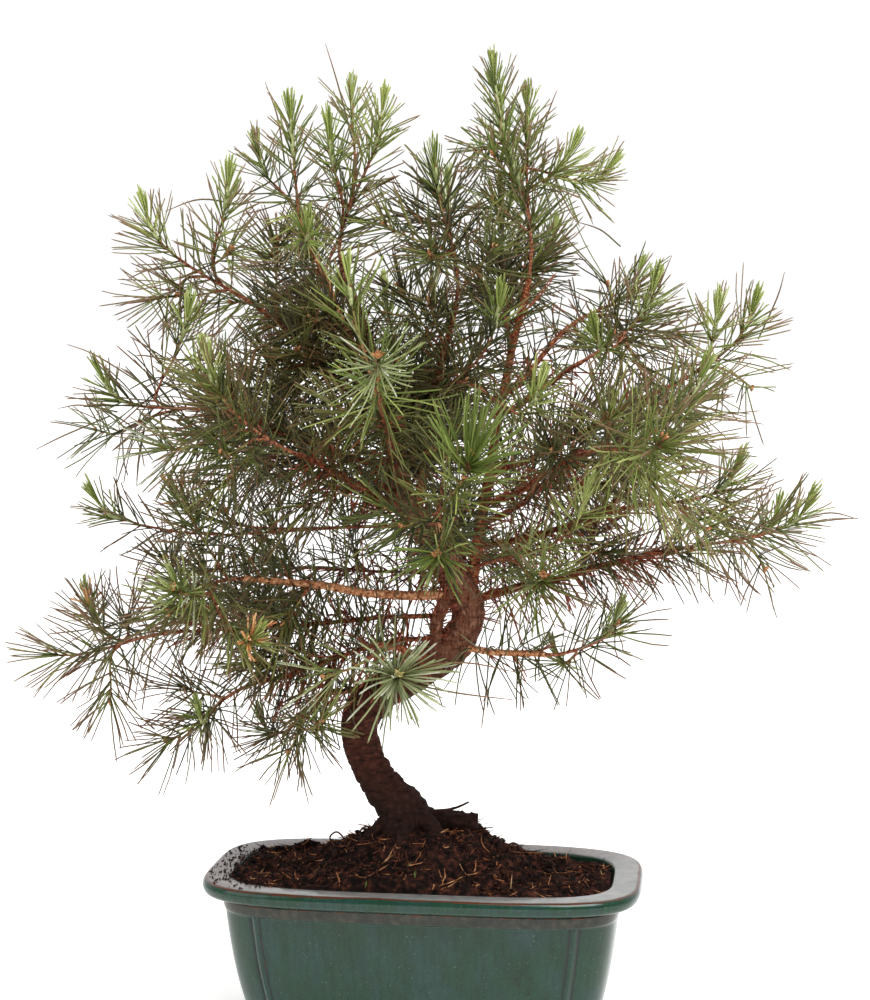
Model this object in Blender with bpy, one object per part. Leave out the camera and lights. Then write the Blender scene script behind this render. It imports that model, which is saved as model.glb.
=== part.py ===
"""Aleppo pine bonsai in an oblong glazed pot. Metres, +Z up, the origin under the middle of the pot.

The long side of the pot lies along X and its front faces -Y. Soil fills the pot and rises to a mound,
and the trunk stands with a flat cut on top of it. Boughs leave the trunk and two slimmer leaders, and
each ends where its mass of needles begins. A mass keeps to the space that is nearer to its own shoots
than to those of any other mass, so that the masses never meet.
"""
import math
import random

import bmesh
import bpy
import numpy as np
from mathutils import Vector

# Pot
POT_LENGTH = 0.260
POT_WIDTH = 0.140
POT_HEIGHT = 0.088
RIM_SQUARENESS = 4.1
BODY_SQUARENESS = 4.6
LIP_WIDTH = 0.0172
BODY_TOP = 0.0752
BODY_INSET = 0.0126
WALL_LEAN = 0.11
WALL_CURL = 15.0
WALL_THICKNESS = 0.0062
UNDERSIDE = 0.0065
FLOOR_TOP = 0.0145
EDGE_ROUND = 0.0025
EDGE_INSET = 0.0040
PANEL_DEPTH = 0.0012
PANEL_HALF_LENGTH = 0.088
PANEL_SILL = 0.0160
PANEL_HEIGHTS = (0.0180, 0.0420, 0.0690)
BAND_HEIGHTS = (0.0705, 0.0765)
BAND_RISE = 0.0006
INNER_HEIGHTS = (BODY_TOP, 0.0500, 0.0300, FLOOR_TOP)
FOOT_SIZE = (0.034, 0.018, 0.011)
FOOT_PLACE = (0.080, 0.029)
FOOT_CORNER = 0.005
DRAIN_RADIUS = 0.007
DRAIN_PLACE = 0.052
DRAIN_SIDES = 12
POT_COLUMNS = 32

# Section of the lip from the cove below it over its top: inset from its edge, height, squareness
LIP_SECTION = (
    (0.0135, 0.0778, BODY_SQUARENESS),
    (0.0070, 0.0784, RIM_SQUARENESS),
    (0.0012, 0.0806, RIM_SQUARENESS),
    (0.0000, 0.0842, RIM_SQUARENESS),
    (0.0010, 0.0870, RIM_SQUARENESS),
    (0.0045, POT_HEIGHT, RIM_SQUARENESS),
    (LIP_WIDTH - 0.0030, POT_HEIGHT - 0.0004, RIM_SQUARENESS),
    (LIP_WIDTH, POT_HEIGHT - 0.0020, BODY_SQUARENESS),
)

# Soil
GAP = 0.0003
SOIL_EDGE = 0.0835
TABLE_HEIGHT = 0.1120
MOUND_HEIGHT = 0.0385
MOUND_CENTRE = 0.001
MOUND_REACH = (0.055, 0.042)
SOIL_BUMP = 0.0012
SOIL_WAVES = (190.0, 90.0, 230.0, 70.0)
SOIL_GAP = 1.5 * GAP
SOIL_RINGS = (0.9, 0.78, 0.66, 0.54, 0.43, 0.33, 0.24, 0.15, 0.07)

# Trunk, as places (x, y, z) and half-thicknesses from its flat cut to its tip
TRUNK_COURSE = (
    (-0.008, -0.001, 0.1000, 0.0195),
    (-0.012, -0.002, 0.1230, 0.0150),
    (-0.022, -0.003, 0.1380, 0.0121),
    (-0.033, -0.004, 0.1560, 0.0109),
    (-0.037, -0.007, 0.1730, 0.0110),
    (-0.034, -0.008, 0.1860, 0.0115),
    (-0.024, -0.007, 0.1970, 0.0115),
    (-0.010, -0.004, 0.2050, 0.0115),
    (0.005, 0.001, 0.2150, 0.0115),
    (0.019, 0.005, 0.2260, 0.0108),
    (0.025, 0.007, 0.2390, 0.0096),
    (0.023, 0.006, 0.2520, 0.0101),
    (0.017, 0.004, 0.2640, 0.0095),
    (0.009, 0.003, 0.2780, 0.0083),
    (-0.003, 0.005, 0.2950, 0.0074),
    (-0.014, 0.008, 0.3120, 0.0070),
    (-0.018, 0.010, 0.3330, 0.0064),
    (-0.022, 0.009, 0.3570, 0.0056),
    (-0.029, 0.006, 0.3840, 0.0048),
    (-0.038, 0.001, 0.4130, 0.0040),
    (-0.048, -0.006, 0.4440, 0.0030),
)
SIDE_STEM = (
    (0.000, -0.003, 0.2130, 0.0040),
    (0.007, -0.006, 0.2260, 0.0037),
    (0.008, -0.006, 0.2380, 0.0036),
    (0.012, -0.003, 0.2500, 0.0038),
    (0.017, 0.002, 0.2600, 0.0040),
)
ROOT_STUB = ((-0.002, 0.000, 0.1200), (0.032, 0.002, 0.1205), 0.0066, 0.0054)
ROOT_TOES = ((-160.0, 0.027), (-95.0, 0.026), (-40.0, 0.030), (35.0, 0.026), (105.0, 0.024), (165.0, 0.026))
TOE_RADIUS = 0.0062
TOE_TAPER = 0.35
TOE_RISE = 0.010
TOE_SINK = 0.001

# Leaders and boughs: name, limb they leave, share of its length, tip, thickness at both ends, rise
LIMBS = (
    ("right_leader", "trunk", 0.445, (0.061, 0.003, 0.440), 0.0050, 0.0024, 0.60),
    ("middle_limb", "trunk", 0.615, (0.019, -0.006, 0.424), 0.0040, 0.0021, 0.45),
    ("crest_left_bough", "trunk", 0.865, (-0.062, -0.016, 0.452), 0.0026, 0.0018, 0.20),
    ("upper_left_bough", "trunk", 0.790, (-0.098, -0.012, 0.424), 0.0032, 0.0019, 0.20),
    ("left_high_bough", "trunk", 0.700, (-0.118, -0.018, 0.362), 0.0032, 0.0019, 0.05),
    ("left_front_bough", "trunk", 0.640, (-0.064, -0.062, 0.340), 0.0030, 0.0018, 0.10),
    ("left_low_bough", "side_stem", 0.860, (-0.098, -0.052, 0.268), 0.0036, 0.0021, -0.05),
    ("left_far_low_bough", "side_stem", 0.600, (-0.148, -0.026, 0.232), 0.0036, 0.0021, 0.00),
    ("left_foot_bough", "side_stem", 0.340, (-0.098, -0.030, 0.203), 0.0033, 0.0020, 0.10),
    ("left_inner_foot_bough", "trunk", 0.285, (-0.060, -0.018, 0.196), 0.0030, 0.0019, 0.15),
    ("front_low_bough", "side_stem", 0.100, (-0.014, -0.084, 0.236), 0.0030, 0.0020, 0.15),
    ("front_middle_bough", "trunk", 0.545, (0.018, -0.080, 0.308), 0.0032, 0.0019, 0.05),
    ("front_high_bough", "trunk", 0.670, (-0.012, -0.084, 0.366), 0.0030, 0.0018, 0.15),
    ("upper_right_bough", "right_leader", 0.600, (0.092, 0.014, 0.392), 0.0023, 0.0017, 0.25),
    ("right_front_bough", "right_leader", 0.340, (0.098, -0.058, 0.342), 0.0026, 0.0018, 0.15),
    ("right_far_high_bough", "right_leader", 0.430, (0.136, 0.014, 0.374), 0.0026, 0.0018, 0.20),
    ("right_middle_bough", "right_leader", 0.210, (0.118, 0.006, 0.306), 0.0028, 0.0018, 0.15),
    ("right_far_low_bough", "trunk", 0.470, (0.150, 0.022, 0.281), 0.0036, 0.0021, 0.30),
    ("right_low_bough", "trunk", 0.400, (0.074, -0.024, 0.223), 0.0026, 0.0018, -0.15),
    ("back_left_high_bough", "trunk", 0.760, (-0.062, 0.052, 0.418), 0.0030, 0.0018, 0.20),
    ("back_left_middle_bough", "trunk", 0.655, (-0.084, 0.072, 0.344), 0.0031, 0.0019, 0.10),
    ("back_left_low_bough", "trunk", 0.515, (-0.070, 0.058, 0.262), 0.0032, 0.0019, 0.00),
    ("back_right_high_bough", "right_leader", 0.660, (0.080, 0.060, 0.412), 0.0023, 0.0017, 0.20),
    ("back_right_middle_bough", "right_leader", 0.280, (0.086, 0.078, 0.330), 0.0027, 0.0018, 0.10),
)

BOUGH_POINTS = 6
BOUGH_SIDES = 6
TRUNK_SIDES = 10
TRUNK_POINTS = 31
STEM_SIDES = 8
STUB_SIDES = 10
TOE_SIDES = 8
FAT = 1.6 * GAP
LIMB_LEAVE = 0.34
LIMB_ARRIVE = 0.30
LIMB_WANDER = 0.0016

# Masses: name, limb that carries them, share of it (1 at its tip), and the buds of their leading shoots
MASSES = (
    ("apex", "right_leader", 1.0, ((0.043, -0.004, 0.541), (0.058, 0.023, 0.533), (0.081, -0.009, 0.503),
                                   (0.098, 0.018, 0.497), (0.026, 0.034, 0.518))),
    ("crest", "trunk", 1.0, ((-0.023, -0.023, 0.524), (-0.047, -0.047, 0.510), (-0.047, 0.024, 0.538))),
    ("crest_left", "crest_left_bough", 1.0, ((-0.073, -0.030, 0.522), (-0.099, 0.007, 0.508),
                                             (-0.054, -0.083, 0.459))),
    ("crest_middle", "middle_limb", 1.0, ((0.011, -0.029, 0.494), (0.015, -0.089, 0.452),
                                          (0.010, 0.033, 0.487))),
    ("upper_left", "upper_left_bough", 1.0, ((-0.156, -0.031, 0.469), (-0.108, -0.045, 0.484),
                                             (-0.165, 0.008, 0.430))),
    ("left_high", "left_high_bough", 1.0, ((-0.183, -0.024, 0.373), (-0.204, 0.013, 0.350),
                                           (-0.124, -0.080, 0.410))),
    ("left_front", "left_front_bough", 1.0, ((-0.102, -0.108, 0.384), (-0.093, -0.123, 0.345),
                                             (-0.134, -0.088, 0.345))),
    ("left_middle", "trunk", 0.600, ((-0.150, 0.018, 0.302), (-0.190, -0.010, 0.300))),
    ("left_low", "left_low_bough", 1.0, ((-0.123, -0.107, 0.267), (-0.090, -0.090, 0.236))),
    ("left_far_low", "left_far_low_bough", 1.0, ((-0.214, -0.038, 0.219), (-0.207, 0.008, 0.237),
                                                 (-0.186, -0.025, 0.190))),
    ("left_foot", "left_foot_bough", 1.0, ((-0.150, -0.030, 0.168), (-0.120, -0.062, 0.185))),
    ("left_inner_foot", "left_inner_foot_bough", 1.0, ((-0.077, -0.026, 0.163), (-0.100, 0.020, 0.164),
                                                       (-0.051, -0.063, 0.188))),
    ("front_low", "front_low_bough", 1.0, ((0.005, -0.141, 0.228), (-0.040, -0.108, 0.222))),
    ("front_middle", "front_middle_bough", 1.0, ((0.041, -0.126, 0.341), (0.026, -0.140, 0.292))),
    ("front_right_low", "right_leader", 0.150, ((0.098, -0.092, 0.312), (0.078, -0.100, 0.276))),
    ("front_high", "front_high_bough", 1.0, ((-0.003, -0.154, 0.393), (-0.024, -0.114, 0.427))),
    ("middle_right_high", "middle_limb", 0.560, ((0.050, -0.074, 0.415), (0.074, -0.111, 0.372))),
    ("upper_right", "upper_right_bough", 1.0, ((0.130, 0.017, 0.425), (0.103, 0.044, 0.451),
                                               (0.105, -0.040, 0.400))),
    ("right_front", "right_front_bough", 1.0, ((0.141, -0.116, 0.351), (0.158, -0.070, 0.375))),
    ("right_far_high", "right_far_high_bough", 1.0, ((0.188, 0.025, 0.413), (0.169, -0.014, 0.411),
                                                     (0.200, 0.060, 0.376))),
    ("right_middle", "right_middle_bough", 1.0, ((0.177, -0.017, 0.322), (0.166, -0.050, 0.300))),
    ("right_far_low", "right_far_low_bough", 1.0, ((0.218, 0.031, 0.297), (0.205, 0.070, 0.290),
                                                   (0.205, 0.000, 0.268))),
    ("right_low", "right_low_bough", 1.0, ((0.108, -0.026, 0.235), (0.124, -0.094, 0.262),
                                           (0.082, -0.004, 0.214))),
    ("back_top", "right_leader", 0.760, ((0.036, 0.090, 0.484), (0.066, 0.100, 0.462))),
    ("back_left_high", "back_left_high_bough", 1.0, ((-0.088, 0.090, 0.466), (-0.132, 0.070, 0.428))),
    ("back_left_middle", "back_left_middle_bough", 1.0, ((-0.150, 0.105, 0.362), (-0.112, 0.136, 0.372))),
    ("back_left_low", "back_left_low_bough", 1.0, ((-0.118, 0.104, 0.262), (-0.152, 0.062, 0.232))),
    ("back_middle", "trunk", 0.720, ((-0.012, 0.156, 0.384), (-0.046, 0.146, 0.426))),
    ("back_right_high", "back_right_high_bough", 1.0, ((0.118, 0.100, 0.436), (0.146, 0.082, 0.408))),
    ("back_right_middle", "back_right_middle_bough", 1.0, ((0.146, 0.118, 0.338), (0.104, 0.146, 0.352))),
    ("back_low", "trunk", 0.560, ((0.046, 0.136, 0.268), (0.000, 0.142, 0.282))),
)

# Growth of a mass
REACH = (0.246, 0.186, 0.572)
STEM_RADIUS = 0.0017
STRAIGHT_START = 0.0025
TWIG_RADIUS = 0.0016
TWIG_END = 0.0013
SHOOTS_PER_MASS = 4
SHOOT_LENGTH = (0.030, 0.050)
SHOOT_ANGLE = 52.0
SHOOT_ANGLE_SPREAD = (-10, 14)
SHOOT_LIFT = 0.35
SHOOT_LEAVE = 0.35
SHOOT_ARRIVE = 0.30
SHOOT_TRIALS = 40
FIRST_FORK = 0.30
FORK_STEP = 0.14
FORK_RANGE = 0.60
SPRAY_LENGTH = 0.048
SPRAY_RADIUS = 0.0031
SPRAY_WAIST = 0.36
SPRAY_ANGLE = 44.0
SPRAY_ANGLE_SPREAD = (-7, 9)
SPRAY_LENGTH_SPREAD = (0.90, 1.10)
SPRAY_STEP = 0.0205
FIRST_SPRAY = 0.08
TUFT_ANGLE = 31.0
TUFT_ANGLE_SPREAD = (-5, 7)
TUFT_SPRAYS = 3
TUFT_SETBACK = 0.011
TUFT_CLEAR = 0.004
CANDLE_LENGTH = 0.028
SPRAY_CLOSED = 0.22
SPRAY_APART = 1.5
SPRAY_ROOM = 0.0006
LIMB_ROOM = 0.0012
FIRST_SPRAY_ROOM = 0.003
FIRST_SPRAY_SHARES = (0.06, 0.70, 17)
SHORTEST_SPRAY = 0.55
SPRAY_SHRINK = 0.86
SAMPLE_STEP = 0.0022
SITE_STEP = 0.012
GOLDEN_ANGLE = math.radians(137.5)
GOLDEN_SHARE = 0.618

# Colours and surfaces: base colour, roughness
FINISHES = {
    "green_glaze": ((0.030, 0.110, 0.085), 0.22),
    "peat": ((0.020, 0.010, 0.006), 0.95),
    "pine_bark": ((0.095, 0.036, 0.020), 0.85),
    "pine_needles": ((0.055, 0.120, 0.035), 0.60),
}


def clear_scene():
    for thing in list(bpy.data.objects):
        bpy.data.objects.remove(thing)


def new_collection(name):
    collection = bpy.data.collections.new(name)
    bpy.context.scene.collection.children.link(collection)
    return collection


def finish(name):
    """The material of that name, made on its first use."""
    material = bpy.data.materials.get(name)
    if material is None:
        colour, roughness = FINISHES[name]
        material = bpy.data.materials.new(name)
        material.use_nodes = True
        shader = material.node_tree.nodes["Principled BSDF"]
        shader.inputs["Base Color"].default_value = (*colour, 1.0)
        shader.inputs["Roughness"].default_value = roughness
    return material


def add_mesh(name, mesh, collection, finish_name=None):
    thing = bpy.data.objects.new(name, mesh)
    collection.objects.link(thing)
    if finish_name:
        mesh.materials.clear()
        mesh.materials.append(finish(finish_name))
    return thing


def mesh_from_bmesh(name, shape):
    mesh = bpy.data.meshes.new(name)
    shape.to_mesh(mesh)
    shape.free()
    return mesh


def evaluated_mesh(thing):
    depsgraph = bpy.context.evaluated_depsgraph_get()
    depsgraph.update()
    return bpy.data.meshes.new_from_object(thing.evaluated_get(depsgraph), depsgraph=depsgraph)


def apply_modifiers(thing):
    """Gives the object the mesh that its modifiers make, and takes the modifiers off."""
    mesh = evaluated_mesh(thing)
    thing.modifiers.clear()
    thing.data = mesh
    return thing


def fuse(thing, parts, solver="EXACT"):
    """Joins a collection of solids to the object by one union, applies it and removes them."""
    joint = thing.modifiers.new("union", "BOOLEAN")
    joint.operation = "UNION"
    joint.operand_type = "COLLECTION"
    joint.collection = parts
    joint.solver = solver
    apply_modifiers(thing)
    for part in list(parts.objects):
        bpy.data.objects.remove(part)
    bpy.data.collections.remove(parts)
    return thing


def cut(thing, cutter, solver="EXACT"):
    """Takes the cutter's space out of the object and removes the cutter."""
    notch = thing.modifiers.new("cut", "BOOLEAN")
    notch.operation = "DIFFERENCE"
    notch.object = cutter
    notch.solver = solver
    apply_modifiers(thing)
    bpy.data.objects.remove(cutter)
    return thing


def smooth_course(points, steps):
    """A Catmull-Rom curve through rows of numbers, with the same count of steps between two rows."""
    rows = np.array(points, dtype=float)
    padded = np.vstack([2 * rows[0] - rows[1], rows, 2 * rows[-1] - rows[-2]])
    course = []
    for index in range(len(rows) - 1):
        before, here, there, after = padded[index:index + 4]
        for share in np.arange(steps) / steps:
            course.append(0.5 * (2 * here + (there - before) * share
                                 + (2 * before - 5 * here + 4 * there - after) * share ** 2
                                 + (3 * here - before - 3 * there + after) * share ** 3))
    course.append(rows[-1])
    return np.array(course)


def bent_course(start, end, start_way, end_way, count):
    """A cubic curve between two places that leaves and arrives along the two ways given."""
    share = np.linspace(0.0, 1.0, count)[:, None]
    first = start + start_way
    second = end - end_way
    return ((1 - share) ** 3 * start + 3 * (1 - share) ** 2 * share * first
            + 3 * (1 - share) * share ** 2 * second + share ** 3 * end)


def unit(vector):
    return vector / np.linalg.norm(vector)


def place_on(course, share):
    """The row at a share of the course's length, and the course's direction there."""
    places = course[:, :3]
    steps = np.linalg.norm(np.diff(places, axis=0), axis=1)
    run = np.concatenate([[0.0], np.cumsum(steps)])
    target = share * run[-1]
    index = min(int(np.searchsorted(run, target, side="right")) - 1, len(steps) - 1)
    part = (target - run[index]) / steps[index]
    row = course[index] * (1 - part) + course[index + 1] * part
    return row, unit(places[index + 1] - places[index])


def tube(name, course, collection, sides, extra=0.0):
    """A tapering tube along rows of place and half-thickness, as a closed mesh.

    Three sides come from a triangle carried along the course, four and more from the curve's own bevel.
    """
    curve = bpy.data.curves.new(name, "CURVE")
    curve.dimensions = "3D"
    curve.use_fill_caps = True
    outline = None
    if sides == 3:
        outline = triangle_outline(collection)
        curve.bevel_mode = "OBJECT"
        curve.bevel_object = outline
    else:
        curve.bevel_depth = 1.0
        curve.bevel_resolution = (sides - 4) // 2
    spline = curve.splines.new("POLY")
    spline.points.add(len(course) - 1)
    for point, row in zip(spline.points, course):
        point.co = (row[0], row[1], row[2], 1.0)
        point.radius = row[3] + extra
    guide = bpy.data.objects.new(name + "_guide", curve)
    collection.objects.link(guide)
    mesh = evaluated_mesh(guide)
    bpy.data.objects.remove(guide)
    if outline:
        bpy.data.objects.remove(outline)
    shape = bmesh.new()
    shape.from_mesh(mesh)
    bmesh.ops.remove_doubles(shape, verts=shape.verts, dist=0.00002)
    bmesh.ops.recalc_face_normals(shape, faces=shape.faces)
    return mesh_from_bmesh(name, shape)


def triangle_outline(collection):
    curve = bpy.data.curves.new("triangle", "CURVE")
    spline = curve.splines.new("POLY")
    spline.points.add(2)
    for index, point in enumerate(spline.points):
        turn = math.radians(120.0 * index)
        point.co = (math.cos(turn), math.sin(turn), 0.0, 1.0)
    spline.use_cyclic_u = True
    outline = bpy.data.objects.new("triangle", curve)
    collection.objects.link(outline)
    return outline


def spike(name, start, end, radius, end_radius, sides, collection):
    """A straight cone between two places, with its narrow end at the second."""
    axis = Vector(end) - Vector(start)
    shape = bmesh.new()
    bmesh.ops.create_cone(shape, cap_ends=True, segments=sides, radius1=radius, radius2=end_radius,
                          depth=axis.length)
    thing = add_mesh(name, mesh_from_bmesh(name, shape), collection)
    thing.rotation_mode = "QUATERNION"
    thing.rotation_quaternion = axis.to_track_quat("Z", "Y")
    thing.location = (Vector(start) + Vector(end)) / 2
    return thing


def spray(start, end, radius, collection):
    """A slim three-sided spindle that is sharp at both ends and widest a third of the way out."""
    axis = Vector(end) - Vector(start)
    root_length = axis.length * SPRAY_WAIST
    shape = bmesh.new()
    bmesh.ops.create_cone(shape, cap_ends=True, cap_tris=True, segments=3, radius1=radius, radius2=0.0,
                          depth=axis.length - root_length)
    base_height = min(vert.co.z for vert in shape.verts)
    for vert in shape.verts:
        if vert.co.z < base_height + 0.00001 and vert.co.xy.length < radius / 10:
            vert.co.z -= root_length
    bmesh.ops.translate(shape, verts=shape.verts, vec=(0.0, 0.0, root_length - base_height))
    bmesh.ops.rotate(shape, verts=shape.verts, matrix=axis.to_track_quat("Z", "Y").to_matrix())
    bmesh.ops.translate(shape, verts=shape.verts, vec=start)
    return add_mesh("spray", mesh_from_bmesh("spray", shape), collection)


def oblong(half_length, half_width, squareness, columns):
    """Places round a rounded oblong, where (x / a) to the power n plus (y / b) to the power n is 1."""
    turn = (np.arange(columns) + 0.5) * 2 * math.pi / columns
    cosine = np.cos(turn)
    sine = np.sin(turn)
    power = 2.0 / squareness
    return (half_length * np.sign(cosine) * np.abs(cosine) ** power,
            half_width * np.sign(sine) * np.abs(sine) ** power)


def ring_at(inset, height, squareness):
    x, y = oblong(POT_LENGTH / 2 - inset, POT_WIDTH / 2 - inset, squareness, POT_COLUMNS)
    return np.column_stack([x, y, np.full(POT_COLUMNS, height)])


def loft(name, rings, collection, finish_name):
    """A solid through closed rings of one count of places, with its first and last ring filled."""
    shape = bmesh.new()
    rows = [[shape.verts.new(place) for place in ring] for ring in rings]
    columns = len(rows[0])
    for lower, upper in zip(rows, rows[1:]):
        for index in range(columns):
            after = (index + 1) % columns
            shape.faces.new((lower[index], lower[after], upper[after], upper[index]))
    shape.faces.new(list(reversed(rows[0])))
    shape.faces.new(rows[-1])
    bmesh.ops.recalc_face_normals(shape, faces=shape.faces)
    return add_mesh(name, mesh_from_bmesh(name, shape), collection, finish_name)


def wall_inset(height):
    """How far the outer wall lies inside the lip's edge: it leans in and curls under lower down."""
    drop = BODY_TOP - height
    return BODY_INSET + WALL_LEAN * drop + WALL_CURL * drop ** 3


def inner_inset(height):
    return wall_inset(min(height, BODY_TOP)) + WALL_THICKNESS


def panel_ring(height):
    """A ring of the wall whose long sides are sunk by a shallow panel between the corner ribs."""
    ring = ring_at(wall_inset(height), height, BODY_SQUARENESS)
    front = np.abs(ring[:, 0]) < PANEL_HALF_LENGTH
    ring[front, 1] -= np.sign(ring[front, 1]) * PANEL_DEPTH
    return ring


def make_foot(collection):
    shape = bmesh.new()
    bmesh.ops.create_cube(shape, size=1.0)
    bmesh.ops.scale(shape, verts=shape.verts, vec=FOOT_SIZE)
    upright = [edge for edge in shape.edges
               if abs(edge.verts[0].co.z - edge.verts[1].co.z) > FOOT_SIZE[2] / 2]
    bmesh.ops.bevel(shape, geom=upright, offset=FOOT_CORNER, segments=2, affect="EDGES", profile=0.5)
    return add_mesh("foot", mesh_from_bmesh("foot", shape), collection)


def make_pot(collection):
    """The pot: its outer wall from the underside up, the lip, the inner wall down, feet and drain holes."""
    foot_inset = wall_inset(UNDERSIDE + EDGE_ROUND)
    band_base, band_top = BAND_HEIGHTS
    rings = [
        ring_at(foot_inset + EDGE_INSET, UNDERSIDE, BODY_SQUARENESS),
        ring_at(foot_inset, UNDERSIDE + EDGE_ROUND, BODY_SQUARENESS),
        ring_at(wall_inset(PANEL_SILL), PANEL_SILL, BODY_SQUARENESS),
        *(panel_ring(height) for height in PANEL_HEIGHTS),
        ring_at(wall_inset(band_base) - BAND_RISE, band_base, BODY_SQUARENESS),
        ring_at(BODY_INSET - BAND_RISE, band_top, BODY_SQUARENESS),
        *(ring_at(*row) for row in LIP_SECTION),
        *(ring_at(inner_inset(height), height, BODY_SQUARENESS) for height in INNER_HEIGHTS),
    ]
    pot = loft("pot", rings, collection, "green_glaze")
    feet = new_collection("pot_feet")
    for side_x in (-1, 1):
        for side_y in (-1, 1):
            foot = make_foot(feet)
            foot.location = (side_x * FOOT_PLACE[0], side_y * FOOT_PLACE[1], FOOT_SIZE[2] / 2)
    fuse(pot, feet)
    for side in (-1, 1):
        below = (side * DRAIN_PLACE, 0.0, 0.0)
        above = (side * DRAIN_PLACE, 0.0, 2 * FLOOR_TOP)
        cut(pot, spike("drain", below, above, DRAIN_RADIUS, DRAIN_RADIUS, DRAIN_SIDES, collection))
    return pot


def soil_height(x, y):
    """A mound under the trunk with a flat top, in uneven soil that is lower at the pot's wall."""
    spread = ((x - MOUND_CENTRE) / MOUND_REACH[0]) ** 2 + (y / MOUND_REACH[1]) ** 2
    across, bend, along, slant = SOIL_WAVES
    bumps = SOIL_BUMP * (np.sin(across * x + 2.0 * np.sin(bend * y)) + np.cos(along * y + slant * x))
    return np.minimum(SOIL_EDGE + MOUND_HEIGHT * np.exp(-spread) + bumps, TABLE_HEIGHT)


def make_soil(collection):
    """The soil: a block that fills the pot a gap clear of its wall, with the mound on top."""
    side_rings = [ring_at(inner_inset(height) + SOIL_GAP, height, BODY_SQUARENESS)
                  for height in (FLOOR_TOP + GAP, 0.0300, 0.0500, BODY_TOP)]
    edge = ring_at(inner_inset(BODY_TOP) + SOIL_GAP, SOIL_EDGE, BODY_SQUARENESS)
    top_rings = [edge]
    for share in SOIL_RINGS:
        ring = edge * (share, share, 1.0)
        ring[:, 2] = soil_height(ring[:, 0], ring[:, 1])
        top_rings.append(ring)
    return loft("soil", side_rings + top_rings, collection, "peat")


def make_trunk(collection, courses):
    """The trunk with a thin second stem that leaves a slot at the fork, root toes and a sawn-off root."""
    course = courses["trunk"]
    trunk = add_mesh("trunk", tube("trunk", course, collection, TRUNK_SIDES), collection, "pine_bark")
    additions = new_collection("trunk_additions")
    side_stem = tube("side_stem", courses["side_stem"], additions, STEM_SIDES)
    add_mesh("side_stem", side_stem, additions)
    start, end, radius, end_radius = ROOT_STUB
    spike("root_stub", start, end, radius, end_radius, STUB_SIDES, additions)
    foot = course[0]
    for turn, length in ROOT_TOES:
        way = Vector((math.cos(math.radians(turn)), math.sin(math.radians(turn)), 0.0))
        start = Vector((foot[0], foot[1], TABLE_HEIGHT + TOE_RISE))
        end = start + way * length
        end.z = TABLE_HEIGHT - TOE_SINK
        spike("root_toe", start, end, TOE_RADIUS, TOE_RADIUS * TOE_TAPER, TOE_SIDES, additions)
    fuse(trunk, additions)
    block = bmesh.new()
    bmesh.ops.create_cube(block, size=POT_WIDTH)
    ground = add_mesh("ground", mesh_from_bmesh("ground", block), collection)
    ground.location = (0.0, 0.0, TABLE_HEIGHT + GAP - POT_WIDTH / 2)
    return cut(trunk, ground)


def limb_course(parent, share, tip, root_radius, tip_radius, rise, seed):
    """A bough's course: it leaves its parent sideways and a little up, wanders, and levels to its tip."""
    start, _ = place_on(parent, share)
    tip = np.array(tip)
    span = tip - start[:3]
    length = np.linalg.norm(span)
    level = np.array([span[0], span[1], 0.0])
    steady = unit(span) if np.linalg.norm(level) < 0.5 * length else unit(level)
    way_out = unit(steady + np.array([0.0, 0.0, rise])) * length * LIMB_LEAVE
    way_in = unit(span + level / 2) * length * LIMB_ARRIVE
    places = bent_course(start[:3], tip, way_out, way_in, BOUGH_POINTS)
    dice = random.Random(seed)
    wander = np.array([[dice.uniform(-1, 1) for _ in range(3)] for _ in places]) * LIMB_WANDER
    wander[:2] = 0.0
    wander[-2:] = 0.0
    radii = np.linspace(root_radius, tip_radius, len(places))
    return np.column_stack([places + wander, radii])


def even_course(course, count):
    """The same course with its rows at equal distances."""
    return np.array([place_on(course, share)[0] for share in np.linspace(0.0, 1.0, count)])


def all_courses():
    courses = {"trunk": even_course(smooth_course(TRUNK_COURSE, 6), TRUNK_POINTS),
               "side_stem": smooth_course(SIDE_STEM, 2)}
    for seed, (name, parent, share, tip, root_radius, tip_radius, rise) in enumerate(LIMBS):
        courses[name] = limb_course(courses[parent], share, tip, root_radius, tip_radius, rise, seed)
    return courses


def room_round(parent, courses, collection):
    """A cutter that is the parent limb made a gap fatter, the side stem with the trunk."""
    if parent not in ("trunk", "side_stem"):
        return add_mesh("room", tube("room", courses[parent], collection, BOUGH_SIDES, FAT), collection)
    room = add_mesh("room", tube("room", courses["trunk"], collection, TRUNK_SIDES, FAT), collection)
    additions = new_collection("room_additions")
    side_room = tube("side_room", courses["side_stem"], collection, STEM_SIDES, FAT)
    add_mesh("side_room", side_room, additions)
    return fuse(room, additions)


def make_limbs(collection, courses):
    for name, parent, *_ in LIMBS:
        limb = add_mesh(name, tube(name, courses[name], collection, BOUGH_SIDES), collection, "pine_bark")
        cut(limb, room_round(parent, courses, collection))


def shoot_course(start, end, radius, start_way, lift, count=3):
    """A twig's course, which turns upwards as it grows and ends in a candle of new needles."""
    span = np.linalg.norm(end - start)
    way_in = unit(unit(end - start) + np.array([0.0, 0.0, lift]))
    places = bent_course(start, end, start_way * span * SHOOT_LEAVE, way_in * span * SHOOT_ARRIVE, count)
    twig = np.column_stack([places, np.linspace(radius, TWIG_END, count)])
    return np.vstack([twig, (*(end + way_in * CANDLE_LENGTH), TWIG_END / 20)])


def twig_length(shoot):
    """The share of a shoot's course at which its twig ends and its candle begins."""
    steps = np.linalg.norm(np.diff(shoot[:, :3], axis=0), axis=1)
    return 1.0 - steps[-1] / steps.sum()


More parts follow.
